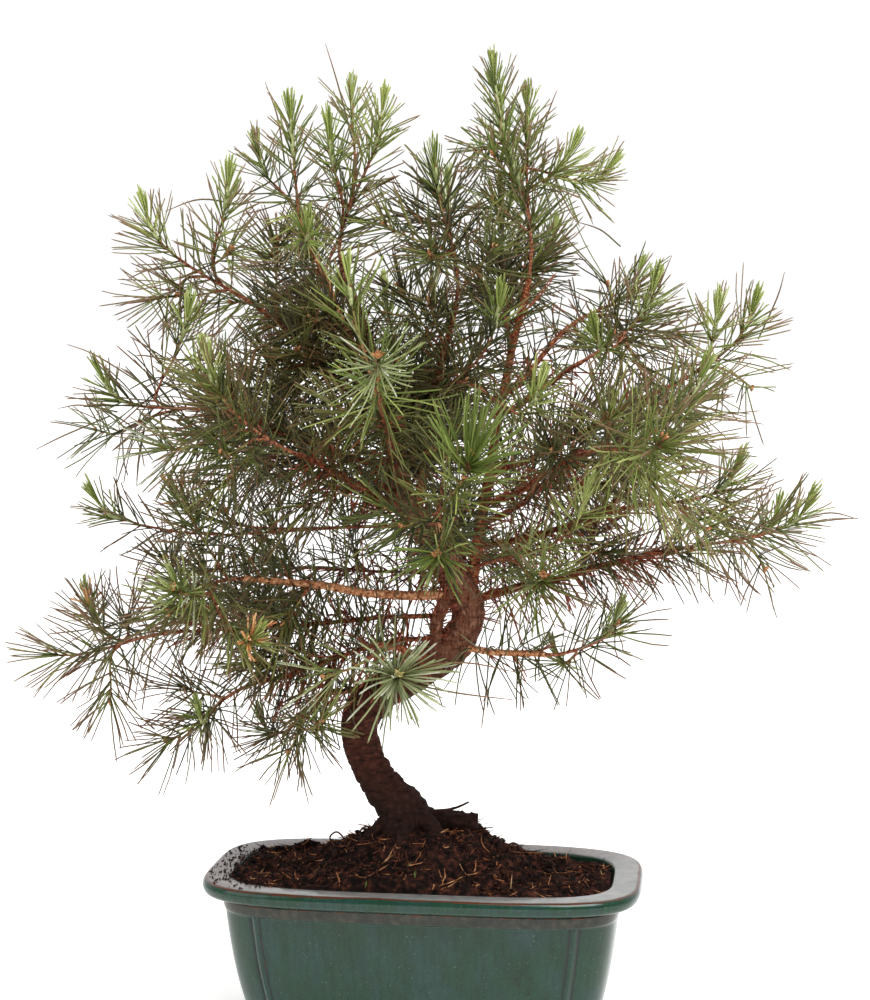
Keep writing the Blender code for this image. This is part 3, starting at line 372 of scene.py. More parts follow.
# Tufts seen end-on: kind, count, lengths, half-width and angles of their needles
STARS = {("front_low", 0): ("glaucous", 62, (0.024, 0.038), 0.00066, (92.0, 16.0)),
         ("left_low", 0): ("bright", 40, (0.014, 0.024), 0.00060, (84.0, 12.0)),
         ("front_middle", 0): ("bright", 64, (0.030, 0.044), 0.00058, (62.0, 8.0)),
         ("front_middle", 1): ("bright", 30, (0.024, 0.036), 0.00056, (60.0, 14.0)),
         ("front_high", 0): ("glaucous", 34, (0.020, 0.036), 0.00058, (125.0, 75.0)),
         ("right_front", 0): ("mid", 34, (0.036, 0.056), 0.00052, (88.0, 24.0)),
         ("front_right_low", 1): ("mid", 30, (0.024, 0.040), 0.00054, (80.0, 20.0))}
PALE_BUDDED = (("front_low", 0),)

# How much a mass's shoots turn up, where it isn't the usual lift
LIFTS = {"front_high": 1.5, "front_middle": 1.3, "front_right_low": 1.0, "right_front": 0.9,
         "middle_right_high": 1.5, "left_front": 1.1, "left_low": 0.5, "crest_middle": 0.9,
         "upper_left": 1.0, "left_high": 0.8, "crest_left": 0.8, "crest": 0.7, "upper_right": 0.8,
         "right_far_high": 0.8, "right_middle": 0.6, "left_middle": 0.5}

# How many dry needles a limb keeps, where it isn't the usual share
DRY_SHARES = {"right_middle_bough": 2.4, "right_far_low_bough": 2.2, "left_high_bough": 1.1,
              "left_front_bough": 1.0, "left_foot_bough": 1.8, "left_inner_foot_bough": 1.3,
              "left_far_low_bough": 1.4, "back_left_low_bough": 1.2, "right_front_bough": 1.0,
              "right_leader": 0.6, "middle_limb": 0.3, "right_low_bough": 0.2, "left_low_bough": 0.15,
              "crest_left_bough": 0.1, "upper_left_bough": 0.25, "front_middle_bough": 0.2}
DRY_SHARE = 0.45
DRY_STEP = 0.0022

# Dry needles on the trunk: from and to a share of its length, step, angles, lengths, droop and stray
TRUNK_DRY = ((0.43, 0.60, 0.0009, (80.0, 50.0), (0.008, 0.022), 0.25, 1.6),
             (0.50, 0.57, 0.0004, (88.0, 60.0), (0.007, 0.018), 0.45, 1.8),
             (0.60, 0.92, 0.0040, (80.0, 50.0), (0.008, 0.024), 0.25, 1.6))

# Limbs with young, paler bark, and the length of a twig's end that is still green
PALE_LIMBS = ("left_low_bough", "right_low_bough", "front_middle_bough", "crest_left_bough")
GREEN_STRETCH = 0.030

# Counts of orange bracts on a few shoots, and their lengths, half-width and angles
ORANGE_TUFTS = {("left_low", 1): 26, ("left_far_low", 1): 8, ("left_middle", 0): 8}
ORANGE_BRACTS = ((0.009, 0.020), 0.00080, (84.0, 24.0))

# Places of long needles that stand out alone
STRAYS = (((-0.042, -0.006, 0.522), (-0.050, -0.007, 0.553), (-0.057, -0.008, 0.576)),
          ((-0.081, -0.011, 0.508), (-0.085, -0.011, 0.534), (-0.092, -0.012, 0.554)),
          ((0.063, 0.029, 0.516), (0.070, 0.029, 0.539), (0.075, 0.030, 0.552)),
          ((0.195, 0.047, 0.405), (0.206, 0.048, 0.430), (0.210, 0.048, 0.445)),
          ((-0.184, -0.024, 0.360), (-0.212, -0.028, 0.348), (-0.228, -0.030, 0.340)),
          ((-0.174, -0.043, 0.363), (-0.195, -0.046, 0.367), (-0.208, -0.048, 0.365)),
          ((-0.155, -0.050, 0.378), (-0.183, -0.055, 0.396), (-0.199, -0.057, 0.402)),
          ((-0.105, -0.024, 0.483), (-0.128, -0.027, 0.486), (-0.148, -0.030, 0.479)),
          ((0.222, 0.045, 0.298), (0.240, 0.050, 0.301), (0.256, 0.053, 0.297)),
          ((-0.005, -0.138, 0.228), (0.035, -0.126, 0.234), (0.065, -0.112, 0.227)),
          ((0.005, -0.138, 0.225), (0.036, -0.124, 0.217), (0.064, -0.112, 0.212)),
          ((0.129, 0.046, 0.419), (0.137, 0.049, 0.440), (0.143, 0.049, 0.455)),
          ((0.113, 0.035, 0.460), (0.101, 0.034, 0.470), (0.086, 0.032, 0.475)),
          ((-0.180, -0.052, 0.222), (-0.191, -0.056, 0.244), (-0.200, -0.057, 0.254)))
STRAY_WIDTH = 0.00050
STRAY_ROWS = 11
STRAY_SIDES = 5

# How brown needle tips are by the distance to a side and by height, and how much that varies: dried tips, and
# in part painted shade of needles at the crown's edges seen dark against the bright surround
BROWNING_BY_SIDE = ((0.03, 0.14), (0.20, 0.92))
BROWNING_BY_HEIGHT = ((0.17, 0.30, 0.38, 0.50), (0.40, 0.05, 0.00, 0.55))
BROWNING_SPREAD = 0.35
CANDLE_BROWNING = 0.25
BROWNEST = 1.3

# Shoots by mass and number that are thin, end without a candle or have a pale stem
THIN_SHOOTS = (("upper_right", 1), ("right_low", 1), ("right_far_low", 2), ("right_far_high", 2))
THIN_DENSITY = -0.4
THIN_CUT = 0.75
WITHOUT_CANDLE = (("front_low", 1), ("left_inner_foot", 2))
PALE_STEMS = {("apex", 0): 0.042, ("apex", 1): 0.010, ("crest_left", 0): 0.006, ("crest", 0): 0.008}
STAR_STRETCH = 0.012

# Candles: how far they go past a shoot's bud, their stem's half-width along it, and how often they grow
CANDLE_PAST = 0.010
CANDLE_RADIUS = 0.0013
CANDLE_SHAPE = (0.9, 1.1, 1.1, 1.0, 0.8, 0.5)
CANDLE_STOUTNESS = ((0.02, 0.06), (1.0, 1.5))
CANDLE_FOOT = (0.004, 0.010)
CANDLE_LIFT = 0.7
CANDLE_CHANCE = 0.4
UPRIGHT = 0.30
BRUSH_LENGTH = 0.005
CANDLES_PAST = {("apex", 0): 0.016, ("apex", 3): 0.010, ("crest", 0): 0.012, ("crest", 2): 0.012,
                ("crest_left", 0): 0.010, ("upper_left", 0): 0.008}

# Needles: step between pairs, length, how much longer some masses bear them, and their section
NEEDLE_STEP = 0.0016
NEEDLE_LENGTH = (0.033, 0.041)
SHOOT_VIGOUR = (0.76, 1.02)
SHOOT_SHADES = (0.2, 0.8)
NEEDLE_REACH = {"right_front": 1.35, "upper_right": 1.35, "right_middle": 1.25, "right_far_high": 1.15,
                "right_far_low": 1.15, "upper_right_bough": 1.35, "right_front_bough": 1.30,
                "right_middle_bough": 1.20, "right_far_high_bough": 1.20, "front_high": 1.15,
                "front_low": 0.9, "left_far_low": 1.05, "left_high": 1.1, "apex": 0.80, "crest": 0.92,
                "crest_left": 0.92}
NEEDLE_HALF_WIDTH = 0.00053
NEEDLE_FLATNESS = 0.75
NEEDLE_ROWS = (0.0, 0.22, 0.45, 0.70, 0.94, 1.0)
NEEDLE_SHAPE = (0.8, 1.0, 1.0, 1.0, 0.85, 0.0)
NEEDLE_SIDES = 3
NEEDLE_CURL = 0.12
PAIR_SPREAD = 14.0

# How far needles stray: turn, angle in degrees, spread, way, bend, tone, droop and their pair's lengths
TURN_STRAY = 0.3
ANGLE_STRAY = 6.0
SPREAD_STRAY = 0.03
WAY_STRAY = 0.035
BEND_STRAY = 0.05
BEND_FORWARD = (-0.02, 0.24)
TONE_STRAY = 0.20
DROOP_REACH = 2.6
PAIR_LENGTHS = (0.9, 1.03)
ROOT_DEPTH = 0.6
REACH_OVER = (0.014, 0.012, 0.018)

# Which needles grow where: darker ones in an oval core of the crown, older needles and painted shade, and
# lighter, fresher ones towards the top, front and right, painted light
CORE_CENTRE = (0.0, 0.0, 0.350)
CORE_SIZE = (0.200, 0.150, 0.180)
CORE_STRAY = 0.08
CORE_EDGE = 0.62
INNER_EDGE = 0.85
LIGHT_AT_BACK = -0.5
LIGHT_AT_RIGHT = 0.25
LIGHT_STRAY = 0.05
LIT = 0.46
HALF_LIT = 0.34
GLAUCOUS_CHANCE = 0.3

# Buds: steps along a bud, its half-widths there, its angle off the twig in degrees and its size
BUD_STEPS = (0.0, 0.35, 0.7, 1.0)
BUD_SHAPE = (0.0006, 0.0010, 0.0008, 0.0)
BUD_ANGLES = (25, 50)
BUD_SIZES = (0.7, 1.1)
BUD_PAST = 0.003
STAR_DEPTH = 0.007

# Sheaths round the foot of some needles: their share, steps along one and its half-widths there
SHEATH_SHARE = 0.6
SHEATH_STEPS = (0.0, 0.0022, 0.0042)
SHEATH_SHAPE = (0.00075, 0.0006, 0.0)
SHEATH_DEPTH = 0.4

# Finishes of the needles: name, three tones, tone of a tip that has dried and is in part painted shade, and
# roughness
NEEDLE_FINISHES = {
    "bright": ("bright_needles", ("#42521A", "#5C6C2A", "#88944E"), "#949A60", 0.38),
    "orange": ("orange_bracts", ("#9A5A34", "#C4844C", "#DCAE78"), "#D0A070", 0.6),
    # inner: the darkest needles of the crown's core, older ones and painted shade
    "inner": ("inner_needles", ("#262412", "#494622", "#746A3C"), "#6E442E", 0.5),
    "old": ("old_needles", ("#222510", "#484C22", "#7A7C44"), "#6E4C38", 0.42),
    "mid": ("grown_needles", ("#2E3611", "#576227", "#929A52"), "#765844", 0.38),
    "fresh": ("fresh_needles", ("#3A4716", "#667632", "#A0AA62"), "#80644C", 0.38),
    "glaucous": ("glaucous_needles", ("#505834", "#7A8254", "#A8AC80"), "#B0B2A0", 0.45),
    "candle": ("candle_needles", ("#5E6C30", "#819044", "#AEB670"), "#A8A668", 0.42),
    "dry": ("dry_needles", ("#431A10", "#7C3A24", "#AE6648"), "#8A4E3A", 0.7),
}
PIECE_LIMIT = 190000

# The camera that fits the pot's rim in the photograph, which is 870 x 1000 pixels
CAMERA_PLACE = (0.1647, -1.1887, 0.4065)
CAMERA_TURN = 7.6
CAMERA_PITCH = 4.59
FOCAL_PIXELS = 2034.0
PHOTO_HEIGHT = 1000.0
SENSOR = 36.0
FLOOR_REACH = 80.0

# Lamps: name, place, power, size and turn in degrees
LAMPS = (("key_lamp", (0.8, -1.0, 2.0), 62.0, 1.3, (32, 0, 39)),
         ("fill_lamp", (-1.3, -1.0, 1.0), 9.0, 1.2, (58, 0, -52)))


def unit(vectors):
    """Each vector divided by its own length."""
    return vectors / np.maximum(np.linalg.norm(vectors, axis=-1, keepdims=True), TINY)


def linear(code):
    """An sRGB hex code as linear red, green, blue and full cover.

    A level c turns to c / 12.92 below 0.04045, and to ((c + 0.055) / 1.055)^2.4 above it.
    """
    levels = [int(code[start:start + 2], 16) / 255 for start in (1, 3, 5)]
    colour = [level / 12.92 if level < 0.04045 else ((level + 0.055) / 1.055) ** 2.4 for level in levels]
    return (*colour, 1.0)


def smooth_course(points, steps):
    """A Catmull-Rom curve through rows of numbers, with the same count of steps between two rows."""
    rows = np.array(points, dtype=float)
    padded = np.vstack([2 * rows[0] - rows[1], rows, 2 * rows[-1] - rows[-2]])
    course = []
    for index in range(len(rows) - 1):
        before, here, there, after = padded[index:index + 4]
        for share in np.arange(steps) / steps:
            course.append(0.5 * (2 * here + (there - before) * share
                                 + (2 * before - 5 * here + 4 * there - after) * share ** 2
                                 + (3 * here - before - 3 * there + after) * share ** 3))
    course.append(rows[-1])
    return np.array(course)


def bent_course(start, end, start_way, end_way, count):
    """A cubic curve between two places that leaves and arrives along the two ways given."""
    share = np.linspace(0.0, 1.0, count)[:, None]
    first = start + start_way
    second = end - end_way
    return ((1 - share) ** 3 * start + 3 * (1 - share) ** 2 * share * first
            + 3 * (1 - share) * share ** 2 * second + share ** 3 * end)


def along(course, shares):
    """Places, directions and half-thicknesses at shares of a course's length, read between its rows."""
    steps = np.linalg.norm(np.diff(course[:, :3], axis=0), axis=1)
    run = np.concatenate([[0.0], np.cumsum(steps)])
    target = np.asarray(shares, dtype=float) * run[-1]
    rows = np.column_stack([np.interp(target, run, course[:, column]) for column in range(4)])
    slopes = np.gradient(course[:, :3], run, axis=0)
    ways = unit(np.column_stack([np.interp(target, run, slopes[:, column]) for column in range(3)]))
    return rows[:, :3], ways, rows[:, 3]


def run_length(course):
    """A course's length: the distances between its rows added up."""
    return np.linalg.norm(np.diff(course[:, :3], axis=0), axis=1).sum()


def place_on(course, share):
    """The row at a share of the course's length, and the course's direction there."""
    places, ways, radii = along(course, [share])
    return np.append(places[0], radii[0]), ways[0]


def limb_course(parent, share, tip, root_radius, tip_radius, rise, seed):
    """A limb's course: it leaves its parent sideways and a little up, wanders, and levels to its tip."""
    start, _ = place_on(parent, share)
    tip = np.array(tip)
    span = tip - start[:3]
    length = np.linalg.norm(span)
    level = np.array([span[0], span[1], 0.0])
    steady = unit(span) if np.linalg.norm(level) < 0.5 * length else unit(level)
    way_out = unit(steady + UP * rise) * length * LIMB_LEAVE
    way_in = unit(span + level / 2) * length * LIMB_ARRIVE
    places = bent_course(start[:3], tip, way_out, way_in, LIMB_POINTS)
    dice = random.Random(seed)
    wander = np.array([[dice.uniform(-1, 1) for _ in range(3)] for _ in places]) * LIMB_WANDER
    wander[:2] = 0.0
    wander[-2:] = 0.0
    radii = np.linspace(root_radius, tip_radius, len(places))
    return np.column_stack([places + wander, radii])


def all_courses():
    """Every limb's course by its name, each one starting on the limb that carries it."""
    courses = {"trunk": smooth_course(TRUNK_COURSE, steps=6), "side_stem": smooth_course(SIDE_STEM, steps=4)}
    for seed, (name, parent, share, tip, root_radius, tip_radius, rise) in enumerate(LIMBS):
        courses[name] = limb_course(courses[parent], share, tip, root_radius, tip_radius, rise, seed)
    return courses


def shoot_course(start, end, radius, start_way, lift, count=5):
    """A twig's course, which turns upwards as it grows."""
    span = np.linalg.norm(end - start)
    way_in = unit(unit(end - start) + UP * lift)
    places = bent_course(start, end, start_way * span * SHOOT_LEAVE, way_in * span * SHOOT_ARRIVE, count)
    return np.column_stack([places, np.linspace(radius, TWIG_END, count)])


def leading_shoots(mass, courses):
    """The stem of a mass and the twigs that lead to its other buds."""
    _, carrier, share, buds = mass
    row, way = place_on(courses[carrier], share)
    buds = [np.array(bud) for bud in buds]
    start = row[:3]
    radius = min(STEM_RADIUS, row[3])
    if share < 1.0:
        way = unit(buds[0] - start)
    lift = LIFTS.get(mass[0], SHOOT_LIFT)
    stem = shoot_course(start, buds[0], radius, way, lift, count=8)
    shoots = [stem]
    for index, bud in enumerate(buds[1:]):
        fork, fork_way = place_on(stem, FIRST_FORK + FORK_STEP * index)
        shoots.append(shoot_course(fork[:3], bud, TWIG_RADIUS, fork_way, lift))
    return shoots


def tilted(way, angle, turn):
    """Directions that lean off the given ones by an angle, turned round them."""
    least = np.where(np.abs(way[..., 2:3]) < 0.9, (0.0, 0.0, 1.0), (1.0, 0.0, 0.0))
    side = unit(np.cross(way, least))
    other = np.cross(way, side)
    angle = np.asarray(angle)[..., None]
    turn = np.asarray(turn)[..., None]
    return way * np.cos(angle) + (side * np.cos(turn) + other * np.sin(turn)) * np.sin(angle)


def side_shoots(stem, wanted, span, lengths, dice, radius=TWIG_RADIUS * 0.9):
    """Seeded twigs off a stretch of a stem, at the golden angle from each other and lifted a little."""
    found = []
    turn = dice.uniform(0.0, 2 * math.pi)
    first, last = span
    for trial in range(wanted):
        turn += GOLDEN_ANGLE
        share = first + (last - first) * (((trial + dice.uniform(0, 0.6)) * GOLDEN_SHARE) % 1.0)
        fork, way = place_on(stem, share)
        lean = tilted(way, math.radians(SHOOT_ANGLE + dice.uniform(*SHOOT_ANGLE_STRAY)), turn)
        lean = unit(lean + UP * SHOOT_LIFT / 2)
        end = fork[:3] + lean * dice.uniform(*lengths)
        room = np.array(REACH) - EDGE_ROOM
        if np.all(np.abs(end[:2]) < room[:2]) and end[2] < room[2]:
            found.append(shoot_course(fork[:3], end, radius, lean, SHOOT_LIFT))
    return found


def lattice_noise(places, cell, seed):
    """Value noise from -1 to 1: hashed numbers at the corners of cubes, blended by 3 s^2 - 2 s^3."""
    scaled = places / cell
    base = np.floor(scaled).astype(np.int64)
    part = scaled - base
    part = part * part * (3 - 2 * part)
    total = np.zeros(places.shape[:-1])
    for corner in np.ndindex(2, 2, 2):
        cube = (base + np.array(corner)) * HASH_FACTORS
        mixed = cube[..., 0] ^ cube[..., 1] ^ cube[..., 2] ^ (seed * HASH_SEED)
        mixed = (mixed ^ (mixed >> 13)) * HASH_MIX & 0x7FFFFFFF
        mixed = (mixed ^ (mixed >> 16)) & 0xFFFF
        weight = np.prod(np.where(np.array(corner) == 1, part, 1 - part), axis=-1)
        total += weight * (mixed / 32767.5 - 1.0)
    return total


def ring_faces(count, rings, sides):
    """Corner numbers of the quads between neighbouring rings of many tubes, facing outwards."""
    tube = np.arange(count)[:, None, None] * rings * sides
    ring = np.arange(rings - 1)[None, :, None] * sides
    side = np.arange(sides)[None, None, :]
    after = (side + 1) % sides
    quads = np.stack([tube + ring + side, tube + ring + after,
                      tube + ring + sides + after, tube + ring + sides + side], axis=-1)
    return quads.reshape(-1, 4)


def end_faces(count, rings, sides):
    """The two end faces of many tubes, facing away from them."""
    tube = np.arange(count)[:, None] * rings * sides
    side = np.arange(sides)[None, :]
    return np.vstack([tube + side[:, ::-1], tube + (rings - 1) * sides + side])


def gathered(shapes):
    """Joins shapes, each an array of places and its groups of faces, into one such shape."""
    places = []
    groups = {}
    start = 0
    for shape_places, shape_groups in shapes:
        flat = shape_places.reshape(-1, 3)
        places.append(flat)
        for group in shape_groups:
            groups.setdefault(group.shape[1], []).append(group + start)
        start += len(flat)
    return np.vstack(places), [np.vstack(group) for group in groups.values()]


def across(ways):
    """Two directions across each row of a course, both worked out from the axis that it follows least."""
    least = np.eye(3)[np.abs(ways).max(axis=0).argmin()]
    side = unit(np.cross(ways, least))
    return side, np.cross(ways, side)


def tube_shape(course, rows, sides, relief=None):
    """A closed tube: centre(t) + r(t) (cos a side(t) + sin a other(t)), moved out by relief(place, t, a)."""
    shares = np.linspace(0.0, 1.0, rows)
    places, ways, radii = along(course, shares)
    side, other = across(ways)
    turn = np.arange(sides) * 2 * math.pi / sides
    out = (np.cos(turn)[None, :, None] * side[:, None] + np.sin(turn)[None, :, None] * other[:, None])
    surface = places[:, None] + radii[:, None, None] * out
    if relief is not None:
        surface = surface + relief(surface, shares[:, None], turn[None, :])[..., None] * out
    return loft(surface)


def rods(centres, halves, sides, flatness=1.0, roll=None):
    """Many thin tapering rods at once, each with its last centre as one sharp point.

    Ring k of a rod is centre k + w_k (cos a side + flatness sin a other), with side and other across its way.
    """
    count, rows, _ = centres.shape
    halves = np.broadcast_to(halves, (count, rows))
    rings = rows - 1
    way = unit(centres[:, -1] - centres[:, 0])
    least = np.where(np.abs(way[:, 2:3]) < 0.8, (0.0, 0.0, 1.0), (1.0, 0.0, 0.0))
    side = unit(np.cross(way, least))
    other = np.cross(way, side)
    if roll is not None:
        turned = side * np.cos(roll)[:, None] + other * np.sin(roll)[:, None]
        other = np.cross(way, turned)
        side = turned
    angle = np.arange(sides) * 2 * math.pi / sides
    out = (np.cos(angle)[None, None, :, None] * side[:, None, None]
           + flatness * np.sin(angle)[None, None, :, None] * other[:, None, None])
    places = centres[:, :-1, None] + halves[:, :-1, None, None] * out
    ring_places = places.reshape(-1, 3)
    tips = np.arange(count) + len(ring_places)
    last = (np.arange(count)[:, None] * rings + rings - 1) * sides + np.arange(sides)[None, :]
    fans = np.stack([last, np.roll(last, -1, axis=1), np.repeat(tips[:, None], sides, axis=1)], axis=-1)
    base = np.arange(count)[:, None] * rings * sides + np.arange(sides)[None, ::-1]
    places = np.vstack([ring_places, centres[:, -1]])
    return places, [ring_faces(count, rings, sides), fans.reshape(-1, 3), base]


def placed(name, data):
    """An object of the given data, linked to the scene."""
    thing = bpy.data.objects.new(name, data)
    bpy.context.scene.collection.objects.link(thing)
    return thing


def mesh_piece(name, shape, material, replaced, smooth=True):
    """A mesh object that rides on the part, from an array of places and groups of faces."""
    places, groups = shape
    mesh = bpy.data.meshes.new(name)
    mesh.vertices.add(len(places))
    mesh.vertices.foreach_set("co", places.astype(np.float32).ravel())
    corners = np.concatenate([group.ravel() for group in groups])
    counts = np.concatenate([np.full(len(group), group.shape[1]) for group in groups])
    mesh.loops.add(len(corners))
    mesh.loops.foreach_set("vertex_index", corners.astype(np.int32))
    mesh.polygons.add(len(counts))
    starts = np.concatenate([[0], np.cumsum(counts)[:-1]])
    mesh.polygons.foreach_set("loop_start", starts.astype(np.int32))
    mesh.polygons.foreach_set("use_smooth", np.full(len(counts), smooth))
    mesh.update(calc_edges=True)
    mesh.materials.append(material)
    piece = placed(name, mesh)
    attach(piece, "root")
    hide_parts(*replaced)
    return piece


def give_values(piece, name, values):
    """Stores one number for each of a piece's vertices, for its finish to read."""
    attribute = piece.data.attributes.new(name, "FLOAT", "POINT")
    attribute.data.foreach_set("value", values.astype(np.float32))


def add_node(material, kind, settings, inputs):
    """Adds a shader node. Settings are its properties, and an input is a value or another's output."""
    tree = material.node_tree
    made = tree.nodes.new("ShaderNode" + kind)
    for name, value in settings.items():
        setattr(made, name, value)
    for name, value in inputs.items():
        if isinstance(value, bpy.types.NodeSocket):
            tree.links.new(value, made.inputs[name])
        else:
            made.inputs[name].default_value = value
    return made


def blank_material(name):
    """A material with only its output and a principled shader joined to it, and its object coordinates."""
    material = bpy.data.materials.new(name)
    material.use_nodes = True
    material.node_tree.nodes.clear()
    output = add_node(material, "OutputMaterial", {}, {})
    shader = add_node(material, "BsdfPrincipled", {}, {})
    material.node_tree.links.new(shader.outputs["BSDF"], output.inputs["Surface"])
    place = add_node(material, "TexCoord", {}, {}).outputs["Object"]
    return material, shader, place


def graded(material, value, codes, steps, settings):
    """Hex colours that follow one another as a value passes from step to step."""
    colour = linear(codes[0])
    for code, low, high in zip(codes[1:], steps, steps[1:]):
        share = add_node(material, "MapRange", settings, {"Value": value, "From Min": low, "From Max": high})
        colour = add_node(material, "MixRGB", {}, {"Fac": share.outputs["Result"], "Color1": colour,
                                                   "Color2": linear(code)}).outputs["Color"]
    return colour


def mottled(material, place, codes, scale_mm, detail=3.0, stretch=(1.0, 1.0, 1.0), spread=(0.35, 0.65)):
    """A colour that wanders between hex colours with noise of the given size in millimetres."""
    mapped = add_node(material, "Mapping", {}, {"Vector": place, "Scale": stretch}).outputs["Vector"]
    noise = add_node(material, "TexNoise", {},
                     {"Vector": mapped, "Scale": 1000.0 / scale_mm, "Detail": detail, "Roughness": 0.6})
    return graded(material, noise.outputs["Fac"], codes, np.linspace(*spread, len(codes)),
                  {"interpolation_type": "SMOOTHSTEP"})


def bumped(material, place, scale_mm, depth_mm, stretch=(1.0, 1.0, 1.0), detail=4.0):
    """A bump of noise with the given grain and depth in millimetres."""
    mapped = add_node(material, "Mapping", {}, {"Vector": place, "Scale": stretch}).outputs["Vector"]
    noise = add_node(material, "TexNoise", {},
                     {"Vector": mapped, "Scale": 1000.0 / scale_mm, "Detail": detail, "Roughness": 0.65})
    return add_node(material, "Bump", {},
                    {"Height": noise.outputs["Fac"], "Strength": 1.0,
                     "Distance": depth_mm / 1000.0}).outputs["Normal"]


def join_inputs(material, shader, links, values):
    """Links sockets to a shader's inputs and sets its plain values."""
    for name, socket in links.items():
        material.node_tree.links.new(socket, shader.inputs[name])
    for name, value in values.items():
        shader.inputs[name].default_value = value


def needle_finish(name, codes, tip_code, roughness):
    """Waxy pine needles: a satin skin, each needle a tone of its own, with a tip that has dried a little and,
    at the crown's edges, is in part painted shade.
    """
    material, shader, _ = blank_material(name)
    tone = add_node(material, "Attribute", {"attribute_name": "tone"}, {}).outputs["Fac"]
    colour = graded(material, tone, codes, np.linspace(0.0, 1.0, len(codes)), {})
    along_needle = add_node(material, "Attribute", {"attribute_name": "along"}, {}).outputs["Fac"]
    # The tip's colour: dried tips, and in part painted shade of needles seen dark against the bright surround
    dry_and_shaded_tip = add_node(material, "MapRange", {},
                      {"Value": along_needle, "From Min": 0.28, "From Max": 0.90, "To Max": 0.90})
    colour = add_node(material, "MixRGB", {}, {"Fac": dry_and_shaded_tip.outputs["Result"], "Color1": colour,
                                               "Color2": linear(tip_code)}).outputs["Color"]
    join_inputs(material, shader, {"Base Color": colour},
                {"Roughness": roughness, "IOR": 1.45, "Specular IOR Level": 0.3})
    return material


def bark_finish(name, codes, grain_mm):
    """Flaky pine bark: dry and matt, with red-brown plates, darker cracks and a fine grain."""
    material, shader, place = blank_material(name)
    colour = mottled(material, place, codes, grain_mm, detail=6.0)
    normal = bumped(material, place, scale_mm=1.1, depth_mm=0.5)
    join_inputs(material, shader, {"Base Color": colour, "Normal": normal},
                {"Roughness": 0.9, "Specular IOR Level": 0.15})
    return material


def by_height(material, place, low, high, start, end):
    """Turns one colour into another between two heights."""
    height = add_node(material, "SeparateXYZ", {}, {"Vector": place}).outputs["Z"]
    share = add_node(material, "MapRange", {"interpolation_type": "SMOOTHSTEP"},
                     {"Value": height, "From Min": start, "From Max": end})
    return add_node(material, "MixRGB", {},
                    {"Fac": share.outputs["Result"], "Color1": low, "Color2": high}).outputs["Color"]


def trunk_finish():
    """Old pine bark: nearly black at the soil, dark brown higher up, red and fibrous at the fork."""
    material, shader, place = blank_material("flaky_pine_bark")
    foot_bark = mottled(material, place, ("#120907", "#22120D", "#38201A"), scale_mm=4.0, detail=8.0,
                   spread=(0.3, 0.7))
    brown = mottled(material, place, ("#241009", "#3C1F16", "#583224"), scale_mm=3.0, detail=8.0,
                    stretch=(0.8, 0.8, 1.4), spread=(0.3, 0.7))
    fibrous = mottled(material, place, ("#42241A", "#704835", "#A07560"), scale_mm=2.4, detail=8.0,
                      stretch=(1.5, 1.5, 0.5), spread=(0.32, 0.68))
    colour = by_height(material, place, foot_bark, brown, start=0.118, end=0.172)
    colour = by_height(material, place, colour, fibrous, start=0.196, end=0.236)
    lines = add_node(material, "Mapping", {}, {"Vector": place, "Scale": (0.45, 0.45, 2.0)})
    crease = add_node(material, "TexNoise", {},
                      {"Vector": lines.outputs["Vector"], "Scale": 1000.0 / 3.5, "Detail": 4.0})
    dark = add_node(material, "MapRange", {},
                    {"Value": crease.outputs["Fac"], "From Min": 0.36, "From Max": 0.46, "To Min": 0.45})
    colour = add_node(material, "MixRGB", {"blend_type": "MULTIPLY"},
                      {"Fac": 1.0, "Color1": colour, "Color2": dark.outputs["Result"]}).outputs["Color"]
    normal = bumped(material, place, scale_mm=1.2, depth_mm=0.6)
    join_inputs(material, shader, {"Base Color": colour, "Normal": normal},
                {"Roughness": 0.9, "Specular IOR Level": 0.15})
    return material


